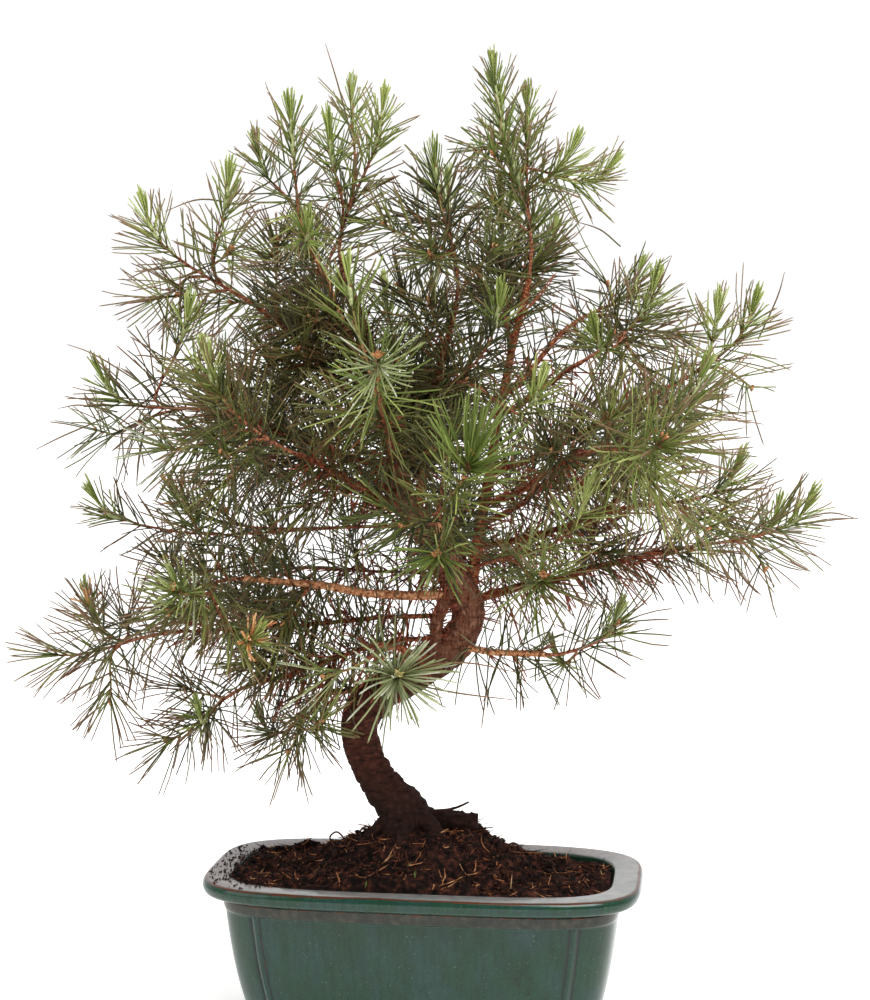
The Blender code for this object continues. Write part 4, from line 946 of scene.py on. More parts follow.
def glaze_finish():
    """Stoneware under green glaze: a glassy coat, thin and brown on edges, that pools in hollows. Painted
    shade darkens its grooves and its inside towards the soil, and a painted reflection makes the lip's top
    pale.
    """
    material, shader, place = blank_material("green_glazed_stoneware")
    body = mottled(material, place, ("#0A2516", "#113221", "#16342C", "#263F3C"), scale_mm=20.0, detail=6.0,
                   stretch=(1.0, 1.0, 0.6), spread=(0.28, 0.72))
    drips = add_node(material, "Mapping", {}, {"Vector": place, "Scale": (1.0, 1.0, 0.10)})
    drip = add_node(material, "TexNoise", {},
                    {"Vector": drips.outputs["Vector"], "Scale": 1000.0 / 3.0, "Detail": 4.0})
    grain = add_node(material, "TexNoise", {}, {"Vector": place, "Scale": 1000.0 / 0.9, "Detail": 2.0})
    mixed = add_node(material, "Math", {"operation": "ADD"},
                     {0: drip.outputs["Fac"], 1: grain.outputs["Fac"]})
    shade = add_node(material, "MapRange", {}, {"Value": mixed.outputs["Value"], "From Min": 0.75,
                                                "From Max": 1.25, "To Min": 0.74, "To Max": 1.26})
    body = add_node(material, "MixRGB", {"blend_type": "MULTIPLY"},
                    {"Fac": 1.0, "Color1": body, "Color2": shade.outputs["Result"]}).outputs["Color"]
    specks = add_node(material, "TexNoise", {}, {"Vector": place, "Scale": 1000.0 / 1.2, "Detail": 1.0})
    speck = add_node(material, "MapRange", {},
                     {"Value": specks.outputs["Fac"], "From Min": 0.70, "From Max": 0.80, "To Max": 0.5})
    colour = add_node(material, "MixRGB", {}, {"Fac": speck.outputs["Result"], "Color1": body,
                                               "Color2": linear("#6C7E66")}).outputs["Color"]
    murky = mottled(material, place, ("#1F1A13", "#2B271E", "#3F372A"), scale_mm=5.0, detail=5.0)
    # Painted reflection: the pale grey given to the lip's top stands for the white surround mirrored in it
    painted_lip_reflection = mottled(material, place, ("#6C706F", "#7A7B79", "#86827E"), scale_mm=9.0, detail=4.0)
    rosy = mottled(material, place, ("#3E302D", "#5A4641", "#73605A"), scale_mm=3.0, detail=5.0)
    dusty = add_node(material, "Attribute", {"attribute_name": "dusty_glaze"}, {})
    rim = add_node(material, "MixRGB", {}, {"Fac": dusty.outputs["Fac"], "Color1": painted_lip_reflection, "Color2": rosy})
    # The near-black tint is painted shade in the grooves, where the glaze also pools, and down the inside
    # towards the soil
    for coat, tint in (("glaze_pool_and_painted_shade", linear("#1B1D20")), ("olive_glaze", murky),
                       ("lip_reflection_and_dust", rim.outputs["Color"])):
        share = add_node(material, "Attribute", {"attribute_name": coat}, {}).outputs["Fac"]
        colour = add_node(material, "MixRGB", {},
                          {"Fac": share, "Color1": colour, "Color2": tint}).outputs["Color"]
    thin = add_node(material, "Attribute", {"attribute_name": "thin_glaze"}, {})
    ragged = add_node(material, "TexNoise", {}, {"Vector": place, "Scale": 1000.0 / 7.0, "Detail": 5.0})
    edge = add_node(material, "Math", {"operation": "MULTIPLY_ADD"},
                    {0: ragged.outputs["Fac"], 1: 1.3, 2: -0.65})
    worn = add_node(material, "Math", {"operation": "ADD", "use_clamp": True},
                    {0: thin.outputs["Fac"], 1: edge.outputs["Value"]})
    masked = add_node(material, "MapRange", {"interpolation_type": "SMOOTHSTEP"},
                      {"Value": worn.outputs["Value"], "From Min": 0.45, "From Max": 0.8})
    browned = add_node(material, "MixRGB", {}, {"Fac": masked.outputs["Result"], "Color1": colour,
                                                "Color2": linear("#4E2A1B")})
    normal = bumped(material, place, scale_mm=14.0, depth_mm=0.25, stretch=(1.0, 1.0, 0.5), detail=2.0)
    join_inputs(material, shader, {"Base Color": browned.outputs["Color"], "Normal": normal},
                {"Roughness": 0.2, "IOR": 1.5, "Specular IOR Level": 0.35})
    return material


def peat_finish(name, codes, roughness=0.95):
    """Moist peat: nearly black, crumbly, with a little red-brown where it has dried."""
    material, shader, place = blank_material(name)
    colour = mottled(material, place, codes, scale_mm=4.0, detail=6.0)
    normal = bumped(material, place, scale_mm=0.9, depth_mm=0.6)
    join_inputs(material, shader, {"Base Color": colour, "Normal": normal},
                {"Roughness": roughness, "Specular IOR Level": 0.15})
    return material


def bark_relief(depth, cell, seed):
    """Plates and cracks: depth times 0.55 coarse + 0.3 fine ridged noise + 0.22 grit."""
    def relief(surface, _share, _turn):
        """How far each place of the surface is moved out."""
        coarse = 1 - 2 * np.abs(lattice_noise(surface * PLATE_STRETCH, cell, seed))
        fine = 1 - 2 * np.abs(lattice_noise(surface, cell * FINE_CELL, seed + 1))
        grit = lattice_noise(surface, cell * GRIT_CELL, seed + 2)
        return depth * (0.55 * coarse + 0.3 * fine + 0.22 * grit)
    return relief


def scale_relief(depth, step, seed):
    """Leaf scars: scales in three spirals, each rising slowly and ending in a lip.

    With w from 0 to 1 along a scale, a place moves out by depth (w^1.5 - 0.4 + 0.3 noise).
    """
    def relief(surface, _share, turn):
        """How far each place of the surface is moved out."""
        run = np.linalg.norm(np.diff(surface.mean(axis=1), axis=0), axis=1)
        run = np.concatenate([[0.0], np.cumsum(run)])[:, None]
        waver = 0.25 * lattice_noise(surface, step * 1.5, seed)
        wave = (run / step + turn * SCALE_SPIRALS / (2 * math.pi) + waver) % 1.0
        return depth * (wave ** 1.5 - 0.4) + 0.3 * depth * lattice_noise(surface, step * 0.5, seed + 1)
    return relief


def trunk_relief(surface, share, turn):
    """Bark on the trunk with swellings and creases round it, all of them fading from its foot to its tip."""
    bark = bark_relief(depth=0.0010, cell=0.0055, seed=3)(surface, share, turn)
    swell = sum(depth * lattice_noise(surface, cell, seed) for depth, cell, seed in TRUNK_SWELLS)
    heights = np.broadcast_to(share * CREASE_STRETCH[1], surface.shape[:2])[..., None]
    rings = np.concatenate([surface[..., :2] * CREASE_STRETCH[0], heights], -1)
    cut = np.clip(1 - CREASE_SHARPNESS * np.abs(lattice_noise(rings, CREASE_CELL, 9)), 0.0, 1.0)
    return (bark * (0.45 + 0.75 * (1 - share)) + swell * (1 - 0.6 * share)
            - CREASE_DEPTH * cut * (1 - 0.7 * share))


def make_wood(courses):
    """The trunk with its thin side stem, root stub and toes, and every limb, all with the bark's relief."""
    foot = np.array([TRUNK_COURSE[0][0], TRUNK_COURSE[0][1], TABLE_HEIGHT])
    start, end, radius, end_radius = ROOT_STUB
    middle = (np.array(start) + np.array(end)) / 2 + (0, 0, STUB_RISE)
    stub = np.array([(*start, radius), (*middle, radius * STUB_TAPER), (*end, end_radius)])
    rootlet = np.column_stack([np.array(ROOTLET), np.array(ROOTLET_TAPER) * ROOTLET_RADIUS])
    shapes = [
        tube_shape(courses["trunk"], rows=620, sides=96, relief=trunk_relief),
        tube_shape(courses["side_stem"], rows=90, sides=40,
                   relief=bark_relief(depth=0.0006, cell=0.004, seed=11)),
        tube_shape(smooth_course(stub, steps=6), rows=60, sides=40,
                   relief=bark_relief(depth=0.0015, cell=0.005, seed=17)),
        tube_shape(smooth_course(rootlet, steps=6), rows=30, sides=10,
                   relief=bark_relief(depth=0.0002, cell=0.002, seed=19)),
    ]
    for index, (turn, length) in enumerate(ROOT_TOES):
        way = np.array([math.cos(math.radians(turn)), math.sin(math.radians(turn)), 0.0])
        toe = [(*(foot + way * length * out + (0, 0, rise)), TOE_RADIUS * taper)
               for out, rise, taper in TOE_SECTION]
        relief = bark_relief(depth=0.0011, cell=0.0045, seed=20 + index)
        shapes.append(tube_shape(smooth_course(toe, steps=6), rows=50, sides=28, relief=relief))
    mesh_piece("trunk_bark", gathered(shapes), trunk_finish(), ["trunk"])
    dark_limbs = [name for name, *_ in LIMBS if name not in PALE_LIMBS]
    for title, codes, chosen in (("limb_bark", ("#3A1A0F", "#743F28", "#A86C48"), dark_limbs),
                                 ("pale_limb_bark", ("#70402A", "#B87C54", "#E0B088"), PALE_LIMBS)):
        limbs = []
        for index, name in enumerate(chosen):
            slim = np.array([1.0, 1.0, 1.0, SLIMMEST.get(name, BOUGH_SLIMMING)])
            rows = int(run_length(courses[name]) / LIMB_ROW)
            relief = scale_relief(depth=0.0006, step=0.0021, seed=40 + index)
            limbs.append(tube_shape(courses[name] * slim, rows, sides=20, relief=relief))
        finish = bark_finish("scaly_" + title, codes, grain_mm=1.8)
        mesh_piece(title, gathered(limbs), finish, chosen)


def needle_lines(roots, ways, lengths, bends, rows, curls=None):
    """Centre lines of needles: root + L (t way + t^2 bend + (t^3 - t^2) curl), at the given shares t."""
    share = np.array(rows)[None, :, None]
    length = lengths[:, None, None]
    lines = roots[:, None] + length * (ways[:, None] * share + bends[:, None] * share ** 2)
    if curls is not None:
        lines = lines + length * curls[:, None] * (share ** 3 - share ** 2)
    return lines


class Foliage:
    """Collects the needles kind by kind, each with its root, way, length, bend, width, tone and dryness."""

    def __init__(self):
        """Starts without needles, twigs or sheaths."""
        self.needles = {}
        self.twigs = {"old": [], "green": [], "young": [], "bud": [], "pale_bud": []}
        self.sheaths = []

    def add(self, kind, roots, ways, lengths, bends, width, tones, dryness_and_shade):
        """Keeps the needles whose tips stay within the plant's reach and above the soil."""
        tips = roots + (ways + bends) * lengths[:, None]
        room = np.array(REACH) + np.array(REACH_OVER)
        inside = (np.all(np.abs(tips[:, :2]) < room[:2], axis=1) & (tips[:, 2] < room[2])
                  & (tips[:, 2] > TABLE_HEIGHT))
        widths = np.full(len(roots), width)
        self.needles.setdefault(kind, []).append(
            tuple(values[inside] for values in (roots, ways, lengths, bends, widths, tones, dryness_and_shade)))


def grow_needles(foliage, course, first, last, kind, dice, step=NEEDLE_STEP, angles=(62.0, 30.0),
                 lengths=NEEDLE_LENGTH, droop=0.05, width=NEEDLE_HALF_WIDTH, stray=1.0, size=1.0, shade=0.5):
    """Pairs of needles round a stretch of twig, each pair at the golden angle from the one before."""
    run = run_length(course) * (last - first)
    count = int(run / step)
    if count < 2:
        return
    shares = first + (last - first) * (np.arange(count) + dice.uniform(0, 1, count)) / count
    places, ways, radii = along(course, shares)
    radii = radii * TWIG_SLIMMING
    turn = np.arange(count) * GOLDEN_ANGLE + dice.uniform(*ANY_TURN) + dice.normal(0, TURN_STRAY, count)
    angle = np.interp(shares, (first, last), angles) + dice.normal(0, ANGLE_STRAY * stray, count)
    lean = tilted(ways, np.radians(angle), turn)
    length = dice.uniform(*lengths, count) * size
    # Browner tips by side and height: dried tips, and in part painted shade at the crown's edges
    browning = CANDLE_BROWNING
    if kind != "candle":
        browning = (np.interp(abs(places[0][0]), *BROWNING_BY_SIDE)
                    + np.interp(places[0][2], *BROWNING_BY_HEIGHT))
    for side in (-0.5, 0.5):
        spread = np.radians(PAIR_SPREAD) * side + dice.normal(0, SPREAD_STRAY, count)
        way = unit(lean + np.cross(ways, lean) * spread[:, None]
                   + dice.normal(0, WAY_STRAY * stray, (count, 3)))
        bend = (ways * dice.uniform(*BEND_FORWARD, count)[:, None] * stray
                + dice.normal(0, BEND_STRAY * stray, (count, 3))
                + UP * dice.uniform(-DROOP_REACH * droop, droop, count)[:, None])
        foliage.add(kind, places + lean * radii[:, None] * ROOT_DEPTH, way,
                    length * dice.uniform(*PAIR_LENGTHS, count), bend, width,
                    np.clip(shade + dice.normal(0, TONE_STRAY, count), 0.0, 1.0),
                    np.clip(dice.normal(browning, BROWNING_SPREAD, count), 0.0, BROWNEST))
    chosen = dice.uniform(0, 1, count) < SHEATH_SHARE
    foliage.sheaths.append((places[chosen], lean[chosen], radii[chosen]))


def grow_candle(foliage, course, share, dice, shade):
    """A young shoot on a twig's end: a pale stem, needles leaning out of it and a close brush at its tip."""
    places, _, _ = along(course, np.linspace(share, 1.0, len(CANDLE_SHAPE)))
    run = run_length(course)
    stout = np.interp(run * (1 - share), *CANDLE_STOUTNESS)
    foliage.twigs["young"].append(np.column_stack([places, CANDLE_RADIUS * stout * np.array(CANDLE_SHAPE)]))
    brush = max(1.0 - BRUSH_LENGTH / run, share)
    grow_needles(foliage, course, share, brush, "candle", dice, step=0.0017, angles=(48.0, 22.0),
                 lengths=(0.014, 0.021), droop=0.0, width=0.00048, stray=0.5, shade=shade)
    grow_needles(foliage, course, share, brush, "fresh", dice, step=0.0017, angles=(60.0, 40.0),
                 lengths=(0.019, 0.028), droop=0.0, width=0.00048, stray=0.6, shade=shade)
    grow_needles(foliage, course, brush, 1.0, "candle", dice, step=0.00045, angles=(14.0, 4.0),
                 lengths=(0.015, 0.019), droop=0.0, width=0.00050, stray=0.3, shade=shade)


def grow_buds(foliage, course, dice, count, length, kind="bud"):
    """A few scaly buds round a twig's tip: short spindles that lean a little away from its direction."""
    row, way = place_on(course, 1.0)
    turn = np.arange(count) * 2 * math.pi / max(count - 1, 1) + dice.uniform(*ANY_TURN)
    angle = np.radians(dice.uniform(*BUD_ANGLES, count))
    angle[0] = 0.0
    lean = tilted(np.repeat(way[None], count, axis=0), angle, turn)
    size = length * dice.uniform(*BUD_SIZES, count)
    steps = np.array(BUD_STEPS)[None, :, None]
    foliage.twigs[kind].append(row[:3] + lean[:, None] * size[:, None, None] * steps)


def grow_star(foliage, course, kind, count, lengths, width, angles, dice, buds="bud"):
    """A tuft seen end-on: needles all round a shoot's last few millimetres, spread wide, with buds in it."""
    share = 1.0 - STAR_DEPTH / run_length(course)
    grow_needles(foliage, course, share, 1.0, kind, dice, step=STAR_DEPTH / (count / 2 + 1), angles=angles,
                 lengths=lengths, droop=0.02, width=width, stray=0.8)
    grow_buds(foliage, longer(course, BUD_PAST), dice, count=7, length=0.0050, kind=buds)


def longer(course, past, lift=0.3):
    """A course that goes on beyond its end by two steps, the second turned further upwards than the first."""
    _, way = place_on(course, 1.0)
    rows = [course]
    for step in (1, 2):
        end = rows[-1][-1].copy()
        end[:3] += unit(way + UP * lift * step) * past / 2
        rows.append(end[None])
    return np.vstack(rows)


def cut_course(course, first, last, count):
    """The stretch of a course between two shares of its length."""
    places, _, radii = along(course, np.linspace(first, last, count))
    return np.column_stack([places, radii])


def grow_shoot(foliage, course, first, dice, tone, candle=0.0, density=1.0, reach=1.0):
    """Needles on a twig: old ones low down, others further out, then a candle or a tuft with buds."""
    old_kind, outer_kind, tuft_kind = tone
    run = run_length(course)
    bud = 1.0 - candle / run
    middle = first + (bud - first) * OLD_STRETCH
    step = NEEDLE_STEP / (0.5 + 0.5 * density)
    size = dice.uniform(*SHOOT_VIGOUR) * reach
    shade = dice.uniform(*SHOOT_SHADES)
    grow_needles(foliage, course, first, middle, old_kind, dice, step=step * 1.25, angles=(74.0, 64.0),
                 droop=0.09, stray=0.8, size=size, shade=shade)
    grow_needles(foliage, course, middle, bud, outer_kind, dice, step=step, angles=(62.0, 46.0), stray=0.7,
                 size=size, shade=shade)
    tuft = min(TUFT_LENGTH / run, bud - middle)
    grow_needles(foliage, course, bud - tuft, bud, tuft_kind, dice, step=step * 0.9, angles=(46.0, 20.0),
                 stray=0.6, size=size * 0.94, shade=shade)
    green = max(1.0 - GREEN_STRETCH / run, LEAST_BARK)
    foliage.twigs["old"].append(cut_course(course, 0.0, green, 6))
    foliage.twigs["green"].append(cut_course(course, green, bud, 5))
    if candle:
        grow_candle(foliage, course, bud, dice, shade)
    else:
        grow_buds(foliage, course, dice, count=3, length=0.0035)


def tone_of(bud, dice):
    """Which kinds of needles a shoot bears: darker ones in the crown's core, older needles and painted shade,
    and lighter, fresher ones towards the top, front and right, painted light.
    """
    out = np.linalg.norm((bud - np.array(CORE_CENTRE)) / np.array(CORE_SIZE)) + dice.normal(0, CORE_STRAY)
    # Painted light: shoots higher up, further to the front and further to the right bear lighter needles
    light = bud[2] + LIGHT_AT_BACK * bud[1] + LIGHT_AT_RIGHT * bud[0] + dice.normal(0, LIGHT_STRAY)
    chance = dice.uniform()
    # Painted shade over older needles: the crown's core bears the darkest kinds
    if out < CORE_EDGE:
        return "inner", "inner", "old"
    if out < INNER_EDGE:
        return "inner", "old", "mid"
    if light > LIT:
        return "mid", "fresh", "fresh"
    if light > HALF_LIT:
        return "old", "mid", "mid"
    if chance < GLAUCOUS_CHANCE:
        return "old", "mid", "glaucous"
    return "old", "old", "mid"


def grow_mass(foliage, mass, courses, density, seed):
    """The leading shoots of a mass, their side shoots, and what stands on each shoot's tip."""
    name = mass[0]
    dice = np.random.default_rng(seed)
    shoots = leading_shoots(mass, courses)
    leaders = len(shoots)
    first = BARE_STEMS.get(name, BARE_STEM)
    reach = NEEDLE_REACH.get(name, 1.0)
    for shoot in shoots[:leaders]:
        wanted = SIDE_SHOOTS * density * run_length(shoot) / SHOOTS_PER + dice.uniform(*SIDE_SHOOTS_STRAY)
        shoots += side_shoots(shoot, int(round(wanted)), SIDE_SPAN, SIDE_LENGTH, dice)
    for index, shoot in enumerate(shoots):
        key = (name, index)
        tone = tone_of(shoot[-1, :3], dice)
        if index >= leaders:
            grow_shoot(foliage, shoot, SIDE_BARE, dice, tone, density=density, reach=reach)
            continue
        if key in THIN_SHOOTS:
            cut = cut_course(shoot, 0.0, THIN_CUT, len(shoot))
            grow_shoot(foliage, cut, first, dice, tone, density=THIN_DENSITY, reach=reach)
            continue
        if key in STARS:
            bud = 1.0 - STAR_STRETCH / run_length(shoot)
            below = cut_course(shoot, 0.0, bud, len(shoot))
            grow_shoot(foliage, below, first, dice, tone, density=density, reach=reach)
            foliage.twigs["green"].append(cut_course(shoot, bud, 1.0, 4))
            grow_star(foliage, shoot, *STARS[key], dice, "pale_bud" if key in PALE_BUDDED else "bud")
            continue
        candle = 0.0
        upright = place_on(shoot, 1.0)[1][2] > UPRIGHT
        if key not in WITHOUT_CANDLE and (upright or dice.uniform() < CANDLE_CHANCE):
            past = CANDLES_PAST.get(key, CANDLE_PAST)
            candle = past + PALE_STEMS.get(key, 0.0) + dice.uniform(*CANDLE_FOOT)
            shoot = longer(shoot, past, CANDLE_LIFT)
        grow_shoot(foliage, shoot, first, dice, tone, candle, density, reach)
        if key in ORANGE_TUFTS:
            grow_star(foliage, shoot, "orange", ORANGE_TUFTS[key], *ORANGE_BRACTS, dice)


def grow_limb(foliage, name, limb, density, seed):
    """Side shoots on a limb, grown needles on its outer part, and dry ones nearer to the trunk."""
    dice = np.random.default_rng(seed)
    bare = BARE_SHARES.get(name, BARE_SHARE)
    wanted = int(round(LIMB_SHOOTS * density * run_length(limb) * (1 - bare) / SHOOTS_PER))
    for shoot in side_shoots(limb, wanted, (bare, 0.97), LIMB_LENGTH, dice):
        tone = tone_of(shoot[-1, :3], dice)
        grow_shoot(foliage, shoot, SIDE_BARE, dice, tone, reach=NEEDLE_REACH.get(name, 1.0))
    step = NEEDLE_STEP * 1.6 / (0.3 + 0.7 * density)
    grow_needles(foliage, limb, bare, 1.0, "old", dice, step=step, angles=(80.0, 66.0), droop=0.10, size=0.8)
    if name in HANGING:
        grow_needles(foliage, limb, *HANGING[name], "old", dice, step=0.0019, angles=(88.0, 72.0), droop=0.24,
                     stray=0.8, size=0.92)
    step = DRY_STEP / DRY_SHARES.get(name, DRY_SHARE)
    grow_needles(foliage, limb, 0.10, 0.9, "dry", dice, step=step, angles=(85.0, 45.0),
                 lengths=(0.009, 0.026), droop=0.30, stray=1.6)


def grow_trunk(foliage, trunk, side_stem, density, seed):
    """Shoots on the trunk's upper part, and dry needles and frayed bits about the fork."""
    dice = np.random.default_rng(seed)
    for shoot in side_shoots(trunk, int(round(TRUNK_SHOOTS * density)), (0.60, 0.98), LIMB_LENGTH, dice):
        grow_shoot(foliage, shoot, SIDE_BARE, dice, tone_of(shoot[-1, :3], dice))
    for first, last, step, angles, lengths, droop, stray in TRUNK_DRY:
        grow_needles(foliage, trunk, first, last, "dry", dice, step, angles, lengths, droop, stray=stray)
    grow_needles(foliage, side_stem, 0.2, 1.0, "dry", dice, step=0.0007, angles=(85.0, 50.0),
                 lengths=(0.005, 0.013), droop=0.25)


def grow_foliage(courses):
    """All shoots of all masses, boughs and the trunk, each owner with its own density and seed."""
    foliage = Foliage()
    for mass in MASSES:
        grow_mass(foliage, mass, courses, *GROWTH[mass[0]])
    for name, *_ in LIMBS:
        grow_limb(foliage, name, courses[name], *GROWTH[name])
    grow_trunk(foliage, courses["trunk"], courses["side_stem"], *GROWTH["trunk"])
    return foliage


def make_strays(finish):
    """Single long needles that stand out of the crown: thin tubes along three given places."""
    tubes = []
    for places in STRAYS:
        rows = np.column_stack([np.array(places), (STRAY_WIDTH, STRAY_WIDTH, STRAY_WIDTH * 0.4)])
        tubes.append(tube_shape(smooth_course(rows, steps=5), STRAY_ROWS, STRAY_SIDES))
    piece = mesh_piece("stray_needles", gathered(tubes), finish, MASS_NAMES)
    give_values(piece, "tone", np.full(len(piece.data.vertices), 0.5))
    dryness_and_shade = np.repeat(np.linspace(0.3, 1.0, STRAY_ROWS), STRAY_SIDES)
    give_values(piece, "along", np.tile(dryness_and_shade, len(STRAYS)))


def rod_triangles(rows, sides):
    """Triangles of one rod: two for each quad between its rings, a fan to its point and one over its foot."""
    return 2 * sides * (rows - 2) + sides + sides - 2


def dealt(count, triangles):
    """The numbers of the rods in each piece, with as few pieces as keep each one under the limit."""
    return np.array_split(np.arange(count), math.ceil(count * triangles / PIECE_LIMIT))


def make_needles(foliage):
    """One or more joined pieces for each kind of needle, each kind with its own finish."""
    finishes = {kind: needle_finish(*facts) for kind, facts in NEEDLE_FINISHES.items()}
    triangles = rod_triangles(len(NEEDLE_ROWS), NEEDLE_SIDES)
    ring_shares = np.repeat(NEEDLE_ROWS[:-1], NEEDLE_SIDES)
    for kind, grown in foliage.needles.items():
        roots, ways, lengths, bends, widths, tone, dryness_and_shade = (np.concatenate(each) for each in zip(*grown))
        dice = np.random.default_rng(len(roots))
        curls = dice.normal(0, NEEDLE_CURL, (len(roots), 3))
        centres = needle_lines(roots, ways, lengths, bends, NEEDLE_ROWS, curls)
        halves = widths[:, None] * np.array(NEEDLE_SHAPE)[None, :]
        roll = dice.uniform(0, 2 * math.pi, len(roots))
        for number, chosen in enumerate(dealt(len(roots), triangles), 1):
            shape = rods(centres[chosen], halves[chosen], NEEDLE_SIDES, NEEDLE_FLATNESS, roll[chosen])
            piece = mesh_piece(f"{kind}_needles_{number}", shape, finishes[kind], MASS_NAMES)
            tones = np.repeat(tone[chosen], len(ring_shares))
            give_values(piece, "tone", np.concatenate([tones, tone[chosen]]))
            shares = ring_shares[None, :] * dryness_and_shade[chosen][:, None]
            give_values(piece, "along", np.concatenate([shares.ravel(), dryness_and_shade[chosen]]))
    make_strays(finishes["old"])


def make_twigs(foliage):
    """Twigs with scaly bark, green ends, pale young stems, buds and the sheaths that needles stand in."""
    scaly = bark_finish("scaly_twig_bark", ("#4C281B", "#824E38", "#B07C5C"), grain_mm=1.8)
    skin = bark_finish("green_twig_skin", ("#55502C", "#77703F", "#9A8E5C"), grain_mm=1.6)
    pale = bark_finish("young_stem_skin", ("#7E8656", "#969E6C", "#B4B88A"), grain_mm=2.0)
    slim = np.array([1.0, 1.0, 1.0, TWIG_SLIMMING])
    relief = bark_relief(depth=0.00022, cell=0.0016, seed=90)
    twigs = [tube_shape(course * slim, max(5, int(run_length(course) / TWIG_ROW)), sides=8, relief=relief)
             for course in foliage.twigs["old"]]
    mesh_piece("twigs", gathered(twigs), scaly, MASS_NAMES)
    ends = [tube_shape(course * slim, rows=8, sides=6) for course in foliage.twigs["green"]]
    mesh_piece("green_twigs", gathered(ends), skin, MASS_NAMES)
    stems = [tube_shape(course, rows=8, sides=8) for course in foliage.twigs["young"]]
    mesh_piece("young_stems", gathered(stems), pale, MASS_NAMES)
    for kind, codes in (("bud", ("#6A3C24", "#A06C44", "#CDA679")),
                        ("pale_bud", ("#8E8248", "#BDB070", "#E0D69C"))):
        shape = rods(np.concatenate(foliage.twigs[kind]), BUD_SHAPE, sides=6)
        finish = bark_finish(kind + "_scales", codes, grain_mm=1.5)
        mesh_piece(kind + "s", shape, finish, MASS_NAMES)
    places, leans, radii = (np.concatenate(each) for each in zip(*foliage.sheaths))
    reach = np.array(SHEATH_STEPS)[None, :, None]
    centres = (places + leans * radii[:, None] * SHEATH_DEPTH)[:, None] + leans[:, None] * reach
    triangles = rod_triangles(len(SHEATH_STEPS), NEEDLE_SIDES)
    for number, chosen in enumerate(dealt(len(places), triangles), 1):
        shape = rods(centres[chosen], SHEATH_SHAPE, NEEDLE_SIDES)
        mesh_piece(f"needle_sheaths_{number}", shape, scaly, MASS_NAMES)


def even_turns(columns):
    """Evenly spaced turns, in radians, the first half a step from zero."""
    return (np.arange(columns) + 0.5) * 2 * math.pi / columns


def pot_turns():
    """Evenly spaced turns round the pot, with a close set of them at each of the four ribs."""
    across_rib = np.linspace(-RIB_REACH, RIB_REACH, RIB_COLUMNS) / (POT_LENGTH / 2)
    ratio = RIB_PLACE + across_rib
    beside = np.arctan2((1 - ratio ** BODY_SQUARENESS) ** (1 / BODY_SQUARENESS), ratio)
    ribs = np.concatenate([beside, math.pi - beside, math.pi + beside, 2 * math.pi - beside])
    even = even_turns(POT_COLUMNS)
    away = np.abs(even[:, None] - ribs[None, :]).min(axis=1) > CROWDED * 2 * math.pi / POT_COLUMNS
    return np.sort(np.concatenate([even[away], ribs]))


def oblong(half_length, half_width, squareness, turn):
    """Places round a rounded oblong, where (x / a) to the power n plus (y / b) to the power n is 1."""
    reach = (np.abs(np.cos(turn)) ** squareness + np.abs(np.sin(turn)) ** squareness) ** (-1 / squareness)
    return half_length * reach * np.cos(turn), half_width * reach * np.sin(turn)


def oblong_ring(half_length, half_width, squareness, turns, height):
    """Places round a rounded oblong, all at one height."""
    x, y = oblong(half_length, half_width, squareness, turns)
    return np.column_stack([x, y, np.full(len(turns), height)])


def loft(rings):
    """A closed shape through rings that have as many places each, with a face over each end."""
    return rings.reshape(-1, 3), [ring_faces(1, *rings.shape[:2]), end_faces(1, *rings.shape[:2])]


def wall_inset(height):
    """How far the outer wall lies inside the lip's edge: it leans in and curls under lower down."""
    drop = BODY_TOP - height
    return BODY_INSET + WALL_LEAN * drop + WALL_CURL * drop ** 3


def smooth_step(value, low, high):
    """0 below low, 1 above high and 3 s^2 - 2 s^3 between them."""
    share = np.clip((value - low) / (high - low), 0.0, 1.0)
    return share * share * (3 - 2 * share)


def ridge(value, place, width):
    """1 where the value is at the place, and e^-((value - place) / width)^2 beside it."""
    return np.exp(-((value - place) / width) ** 2)


def pot_section():
    """The pot's section as inset, height and squareness: from its underside over the lip and down inside."""
    edge = wall_inset(UNDERSIDE + EDGE_ROUND)
    outer = [(edge + UNDERSIDE_INSET, UNDERSIDE), (edge + EDGE_INSET, UNDERSIDE),
             (edge + EDGE_BEND[0], UNDERSIDE + EDGE_BEND[1]), (edge, UNDERSIDE + EDGE_ROUND)]
    outer += [(wall_inset(height), height) for height in np.linspace(*WALL_SPAN, WALL_ROWS)]
    outer += [(wall_inset(BAND_HEIGHTS[0]) - BAND_RISE, BAND_HEIGHTS[0]),
              (BODY_INSET - BAND_RISE, BAND_MIDDLE), (BODY_INSET - BAND_RISE, BAND_HEIGHTS[1])]
    inner = [(wall_inset(min(height, BODY_TOP)) + WALL_THICKNESS, height) for height in INNER_HEIGHTS]
    rows = [(inset, height, BODY_SQUARENESS) for inset, height in outer]
    rows += [(inset, height, RIM_SQUARENESS) for inset, height in LIP_SECTION]
    rows += [(inset, height, BODY_SQUARENESS) for inset, height in inner]
    return np.array(rows)


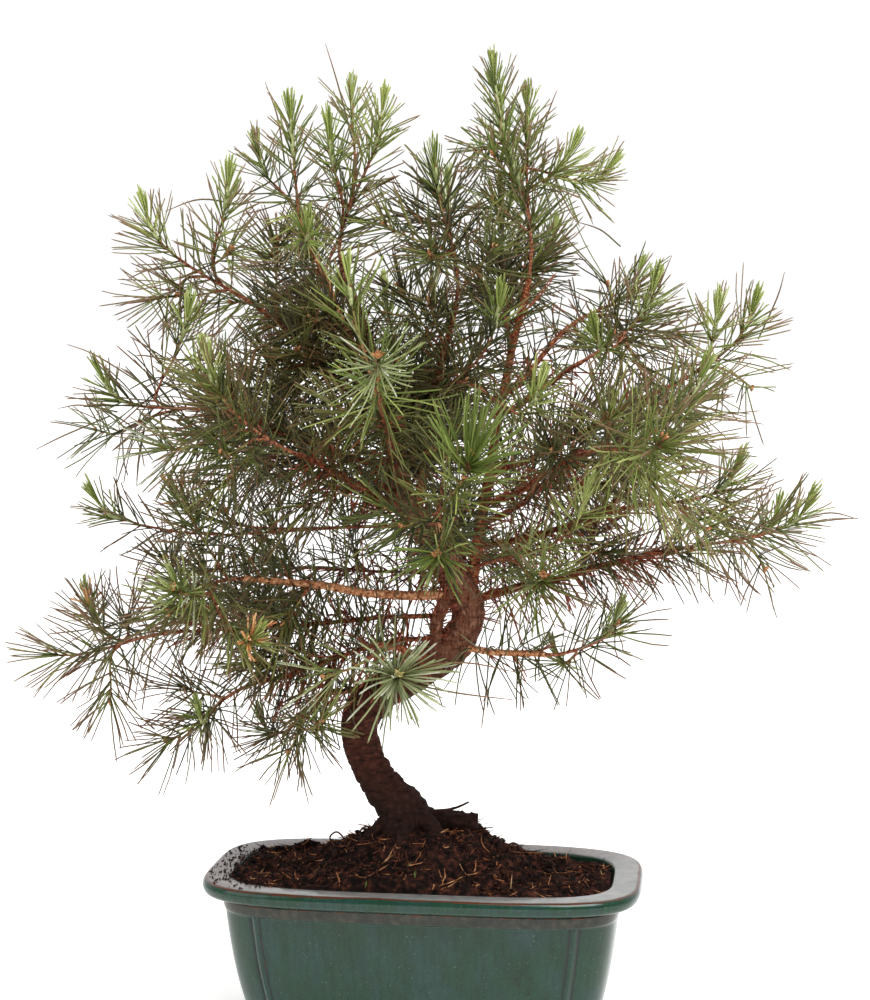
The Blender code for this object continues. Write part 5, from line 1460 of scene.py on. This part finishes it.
def make_pot():
    """The glazed pot as one loft of rounded oblongs, with sunk panels and ribs beside them, and its feet."""
    rows = smooth_course(pot_section(), SECTION_STEPS)
    turns = pot_turns()
    halves = POT_LENGTH / 2 - rows[:, 0]
    rings = np.array([oblong_ring(POT_LENGTH / 2 - inset, POT_WIDTH / 2 - inset, squareness, turns, height)
                      for inset, height, squareness in rows])
    index = np.arange(len(rows))[:, None]
    lip_start = int(np.argmax(rows[:, 1] > LIP_SECTION[0][1]))
    top = int(np.argmax(rows[:, 1] > POT_HEIGHT - 0.00005))
    outer = index < lip_start
    x, y, z = rings[..., 0], rings[..., 1], rings[..., 2]
    long_side = np.abs(np.sin(turns))[None, :] > np.abs(np.cos(turns))[None, :]
    tall = (smooth_step(z, PANEL_SPAN[0], PANEL_SPAN[0] + PANEL_EASE[0])
            * (1 - smooth_step(z, PANEL_SPAN[1] - PANEL_EASE[1], PANEL_SPAN[1])) * outer)
    beyond = (np.abs(x) / halves[:, None] - RIB_PLACE) * POT_LENGTH / 2
    panel = (1 - smooth_step(beyond, *PANEL_END)) * long_side
    bead, near_groove, far_groove = (ridge(beyond, place, width) * long_side
                                     for place, width, _ in (BEAD, NEAR_GROOVE, FAR_GROOVE))
    depth = tall * (-PANEL_DEPTH * panel + BEAD[2] * bead + NEAR_GROOVE[2] * near_groove
                    + FAR_GROOVE[2] * far_groove)
    rings[..., 1] += np.sign(y) * depth
    pot = mesh_piece("pot_glaze", loft(rings), glaze_finish(), ["pot"])
    # The glaze is worn brown on both edges of the lip, on its foot, above the band and beside the ribs
    wobble = 0.6 * np.sin(turns * 7 + 1.0) + 0.5 * np.sin(turns * 17)
    thin = (0.97 * ridge(index, top - 3 + wobble, 2.5) + 0.66 * ridge(z, BAND_WORN_AT, 0.0008) * outer
            + 0.50 * ridge(index, lip_start + 5, 2.2) + 0.55 * ridge(index, top + 15, 1.6)
            + 0.50 * tall * near_groove * (x < 0) + 0.35 * tall * bead)
    # It pools in the grooves, darkened there by painted shade, and painted shade darkens the inside towards
    # the soil; the lip's top is pale with a painted reflection of the white surround, and dusty at its left
    # and back
    pooling_and_shade = tall * (0.9 * near_groove + 0.85 * far_groove) + 0.35 * smooth_step(index, top + 16, top + 22)
    # Where the lip's top carries the painted reflection, mixed with dust at its left and back
    pale = np.where(index > top, 1 - smooth_step(index, top + 12, top + 17),
                    smooth_step(index, top - 4, top + 1))
    dusty = np.clip(smooth_step(-x, 0.070, 0.125) + smooth_step(y, 0.030, 0.066), 0, 1)
    band = smooth_step(z, *BAND_START) * (index < lip_start + 3)
    for name, values in (("dusty_glaze", 0.75 * dusty), ("lip_reflection_and_dust", np.broadcast_to(pale, z.shape)),
                         ("olive_glaze", 0.8 * band), ("thin_glaze", np.clip(thin, 0, 1)),
                         ("glaze_pool_and_painted_shade", np.clip(pooling_and_shade, 0, 1))):
        give_values(pot, name, values.ravel())
    feet = []
    for side_x in (-1, 1):
        for side_y in (-1, 1):
            foot = np.array([oblong_ring(FOOT_SIZE[0] / 2 - inset, FOOT_SIZE[1] / 2 - inset, FOOT_SQUARENESS,
                                         even_turns(FOOT_COLUMNS), height) for inset, height in FOOT_SECTION])
            feet.append(loft(foot + (side_x * FOOT_PLACE[0], side_y * FOOT_PLACE[1], 0.0)))
    mesh_piece("pot_feet", gathered(feet), pot.data.materials[0], ["pot"])


def soil_height(x, y):
    """A mound under the trunk with a flat top, in uneven soil that is lower at the pot's wall."""
    spread = ((x - MOUND_CENTRE) / MOUND_REACH[0]) ** 2 + (y / MOUND_REACH[1]) ** 2
    wide, bend, long, slant = SOIL_WAVES
    bumps = SOIL_BUMP * (np.sin(wide * x + 2.0 * np.sin(bend * y)) + np.cos(long * y + slant * x))
    return np.minimum(SOIL_EDGE + MOUND_HEIGHT * np.exp(-spread) + bumps, TABLE_HEIGHT)


def soil_surface(x, y):
    """The soil's height: noise of three sizes over the solid's own mound, and a lap up the left wall."""
    flat = np.stack([x, y, np.zeros_like(x)], axis=-1)
    lumps = sum(depth * lattice_noise(flat, cell, seed) for depth, cell, seed in SOIL_LUMPS)
    out = np.maximum(np.abs(x) / LAP_REACH[0], np.abs(y) / LAP_REACH[1])
    lap = SOIL_LAP * smooth_step(out, LAP_START, 1.0) * smooth_step(-x, *LAP_SIDE)
    return soil_height(x, y) + lumps + lap


def soil_spots(count, dice):
    """Seeded places on the soil's surface, a little inside the pot's wall."""
    limit = wall_inset(BODY_TOP) + WALL_THICKNESS
    half_length = POT_LENGTH / 2 - limit
    half_width = POT_WIDTH / 2 - limit
    x = dice.uniform(-1, 1, count * 2) * half_length * SPOT_SHARE
    y = dice.uniform(-1, 1, count * 2) * half_width * SPOT_SHARE
    out = (np.abs(x) / half_length) ** BODY_SQUARENESS + (np.abs(y) / half_width) ** BODY_SQUARENESS
    x = x[out < SPOT_SHARE][:count]
    y = y[out < SPOT_SHARE][:count]
    return np.column_stack([x, y, soil_surface(x, y)])


def crumbs(places, sizes, dice):
    """Lumps: the twelve corners of an icosahedron, each moved in or out, squashed and turned."""
    corners = unit(np.array([(-1, GOLDEN, 0), (1, GOLDEN, 0), (-1, -GOLDEN, 0), (1, -GOLDEN, 0),
                             (0, -1, GOLDEN), (0, 1, GOLDEN), (0, -1, -GOLDEN), (0, 1, -GOLDEN),
                             (GOLDEN, 0, -1), (GOLDEN, 0, 1), (-GOLDEN, 0, -1), (-GOLDEN, 0, 1)]))
    faces = np.array([(0, 11, 5), (0, 5, 1), (0, 1, 7), (0, 7, 10), (0, 10, 11), (1, 5, 9), (5, 11, 4),
                      (11, 10, 2), (10, 7, 6), (7, 1, 8), (3, 9, 4), (3, 4, 2), (3, 2, 6), (3, 6, 8),
                      (3, 8, 9), (4, 9, 5), (2, 4, 11), (6, 2, 10), (8, 6, 7), (9, 8, 1)])
    count = len(places)
    each = len(corners)
    lumps = (corners[None] * dice.uniform(*LUMP_CORNERS, (count, each, 1))
             * dice.uniform(*LUMP_SQUASH, (count, 1, 3)))
    shape = places[:, None] + lumps * sizes[:, None, None]
    return shape.reshape(-1, 3), [(faces[None] + np.arange(count)[:, None, None] * each).reshape(-1, 3)]


def fibres(places, lengths, rise, dice, width):
    """Bits of straw and root: curved rods lying on the soil, some standing up a little."""
    count = len(places)
    turn = dice.uniform(0, 2 * math.pi, count)
    way = unit(np.column_stack([np.cos(turn), np.sin(turn), dice.normal(0.0, rise, count)]))
    bend = dice.normal(0, FIBRE_BEND, (count, 3))
    bend[:, 2] = np.abs(bend[:, 2]) * FIBRE_LIFT
    centres = needle_lines(places - way * lengths[:, None] * 0.5, way, lengths, bend, FIBRE_ROWS)
    ground = soil_surface(centres[..., 0], centres[..., 1])
    centres[..., 2] = np.maximum(centres[..., 2], ground - FIBRE_SINK)
    halves = width * np.array(FIBRE_SHAPE)[None, :] * dice.uniform(*FIBRE_WIDTHS, (count, 1))
    return rods(centres, halves, FIBRE_SIDES, flatness=0.7, roll=dice.uniform(*ANY_TURN, count))


def make_soil():
    """Peat: a lumpy surface over the solid's mound, with loose crumbs, straw, dark rootlets and seedlings."""
    dice = np.random.default_rng(SOIL_SEED)
    limit = wall_inset(BODY_TOP) + WALL_THICKNESS + SOIL_CLEARANCE
    rings = []
    for share in (1.0, 1.0, *np.sqrt(np.linspace(*SOIL_SHARES, SOIL_RINGS))):
        ring = oblong_ring((POT_LENGTH / 2 - limit) * share, (POT_WIDTH / 2 - limit) * share,
                           BODY_SQUARENESS, even_turns(SOIL_COLUMNS), SOIL_BOTTOM)
        if rings:
            ring[:, 2] = soil_surface(ring[:, 0], ring[:, 1])
        rings.append(ring)
    dark = peat_finish("moist_peat", ("#050302", "#120907", "#2A1610", "#4C2A1E"))
    mesh_piece("soil_surface", loft(np.array(rings)), dark, ["soil"])
    spots = soil_spots(CRUMBS, dice)
    sizes = [dice.uniform(*CRUMB_SIZES, len(spots))]
    clods = soil_spots(CLODS, dice)
    clods[:, 2] += CLOD_RISE
    inset = LIP_WIDTH - (LIP_WIDTH - LIP_CRUMB_INSET) * dice.uniform(0, 1, LIP_CRUMBS) ** LIP_CRUMB_CROWDING
    on_lip = oblong_ring(POT_LENGTH / 2 - inset, POT_WIDTH / 2 - inset, RIM_SQUARENESS,
                         dice.uniform(*LIP_CRUMB_TURNS, LIP_CRUMBS), POT_HEIGHT + 0.0001)
    sizes += [dice.uniform(*CLOD_SIZES, len(clods)), dice.uniform(*LIP_CRUMB_SIZES, LIP_CRUMBS)]
    loose = crumbs(np.vstack([spots, clods, on_lip]), np.concatenate(sizes), dice)
    mesh_piece("soil_crumbs", loose, dark, ["soil"], smooth=False)
    for title, codes, count, lengths, rise, width in SOIL_BITS:
        spots = soil_spots(count, dice)
        finish = peat_finish(title.replace("soil", "dry"), codes, roughness=0.8)
        bits = fibres(spots, dice.uniform(*lengths, len(spots)), rise, dice, width)
        mesh_piece(title, bits, finish, ["soil"])
    curls = [smooth_course([(*place, CURL_RADIUS) for place in curl], steps=6) for curl in ROOT_CURLS]
    shape = gathered(tube_shape(curl, rows=30, sides=6) for curl in curls)
    finish = bark_finish("dead_root", ("#1C0E09", "#38201A", "#5A382C"), grain_mm=1.5)
    mesh_piece("root_curls", shape, finish, ["soil"])
    green = needle_finish("seedling_green", ("#3E5224", "#586E34", "#74884A"), "#A8A868", roughness=0.45)
    blades = np.repeat(np.array(SPROUTS), 2, axis=0)
    ways = unit(dice.normal(0, SPROUT_LEAN, (len(blades), 3)) + UP)
    lines = needle_lines(blades, ways, dice.uniform(*SPROUT_LENGTHS, len(blades)),
                         dice.normal(0, SPROUT_BEND, (len(blades), 3)), SPROUT_ROWS)
    shape = rods(lines, SPROUT_SHAPE, sides=5, flatness=0.5)
    sprouts = mesh_piece("soil_sprouts", shape, green, ["soil"])
    for name, value in (("tone", 0.6), ("along", 0.2)):
        give_values(sprouts, name, np.full(len(sprouts.data.vertices), value))


def make_stage():
    """A white floor, a surround that is bright behind and above and dim in front, and two soft lamps."""
    floor = bpy.data.materials.new("white_paper")
    floor.use_nodes = True
    shader = floor.node_tree.nodes["Principled BSDF"]
    join_inputs(floor, shader, {}, {"Base Color": linear("#F6F5F4"), "Roughness": 0.9,
                                    "Emission Color": (1.0, 1.0, 1.0, 1.0)})
    place = add_node(floor, "TexCoord", {}, {}).outputs["Object"]
    distance = add_node(floor, "VectorMath", {"operation": "LENGTH"}, {0: place}).outputs["Value"]
    glow = add_node(floor, "MapRange", {},
                    {"Value": distance, "From Min": 0.5, "From Max": 3.0, "To Min": 0.42, "To Max": 0.6})
    join_inputs(floor, shader, {"Emission Strength": glow.outputs["Result"]}, {})
    mesh = bpy.data.meshes.new("floor")
    corners = [(x * FLOOR_REACH, y * FLOOR_REACH, 0) for x, y in ((-1, -1), (1, -1), (1, 1), (-1, 1))]
    mesh.from_pydata(corners, [], [(0, 1, 2, 3)])
    mesh.materials.append(floor)
    paper = placed("floor", mesh)
    world = bpy.data.worlds.new("white_surround")
    bpy.context.scene.world = world
    world.use_nodes = True
    direction = add_node(world, "TexCoord", {}, {}).outputs["Generated"]
    parts = add_node(world, "SeparateXYZ", {}, {"Vector": direction})
    light = add_node(world, "MapRange", {"interpolation_type": "SMOOTHSTEP"},
                     {"Value": parts.outputs["Y"], "From Min": -0.7, "From Max": 0.7,
                      "To Min": 0.36, "To Max": 1.05})
    sky = world.node_tree.nodes["Background"]
    join_inputs(world, sky, {"Strength": light.outputs["Result"]}, {"Color": (1.0, 1.0, 1.0, 1.0)})
    for name, place, power, size, turn in LAMPS:
        lamp = bpy.data.lights.new(name, "AREA")
        lamp.energy = power
        lamp.size = size
        thing = placed(name, lamp)
        thing.location = place
        thing.rotation_euler = [math.radians(angle) for angle in turn]
    bpy.context.scene.view_settings.view_transform = "Standard"


def make_camera():
    """The camera that fits the photograph. Its lens is focal pixels / picture height times the sensor."""
    data = bpy.data.cameras.new("camera")
    data.sensor_width = SENSOR
    data.lens = FOCAL_PIXELS / PHOTO_HEIGHT * SENSOR
    camera = placed("camera", data)
    camera.location = CAMERA_PLACE
    camera.rotation_euler = (math.radians(90.0 - CAMERA_PITCH), 0.0, math.radians(CAMERA_TURN))
    bpy.context.scene.camera = camera


make_stage()
make_camera()
limb_courses = all_courses()
make_pot()
make_soil()
make_wood(limb_courses)
grown_foliage = grow_foliage(limb_courses)
make_needles(grown_foliage)
make_twigs(grown_foliage)
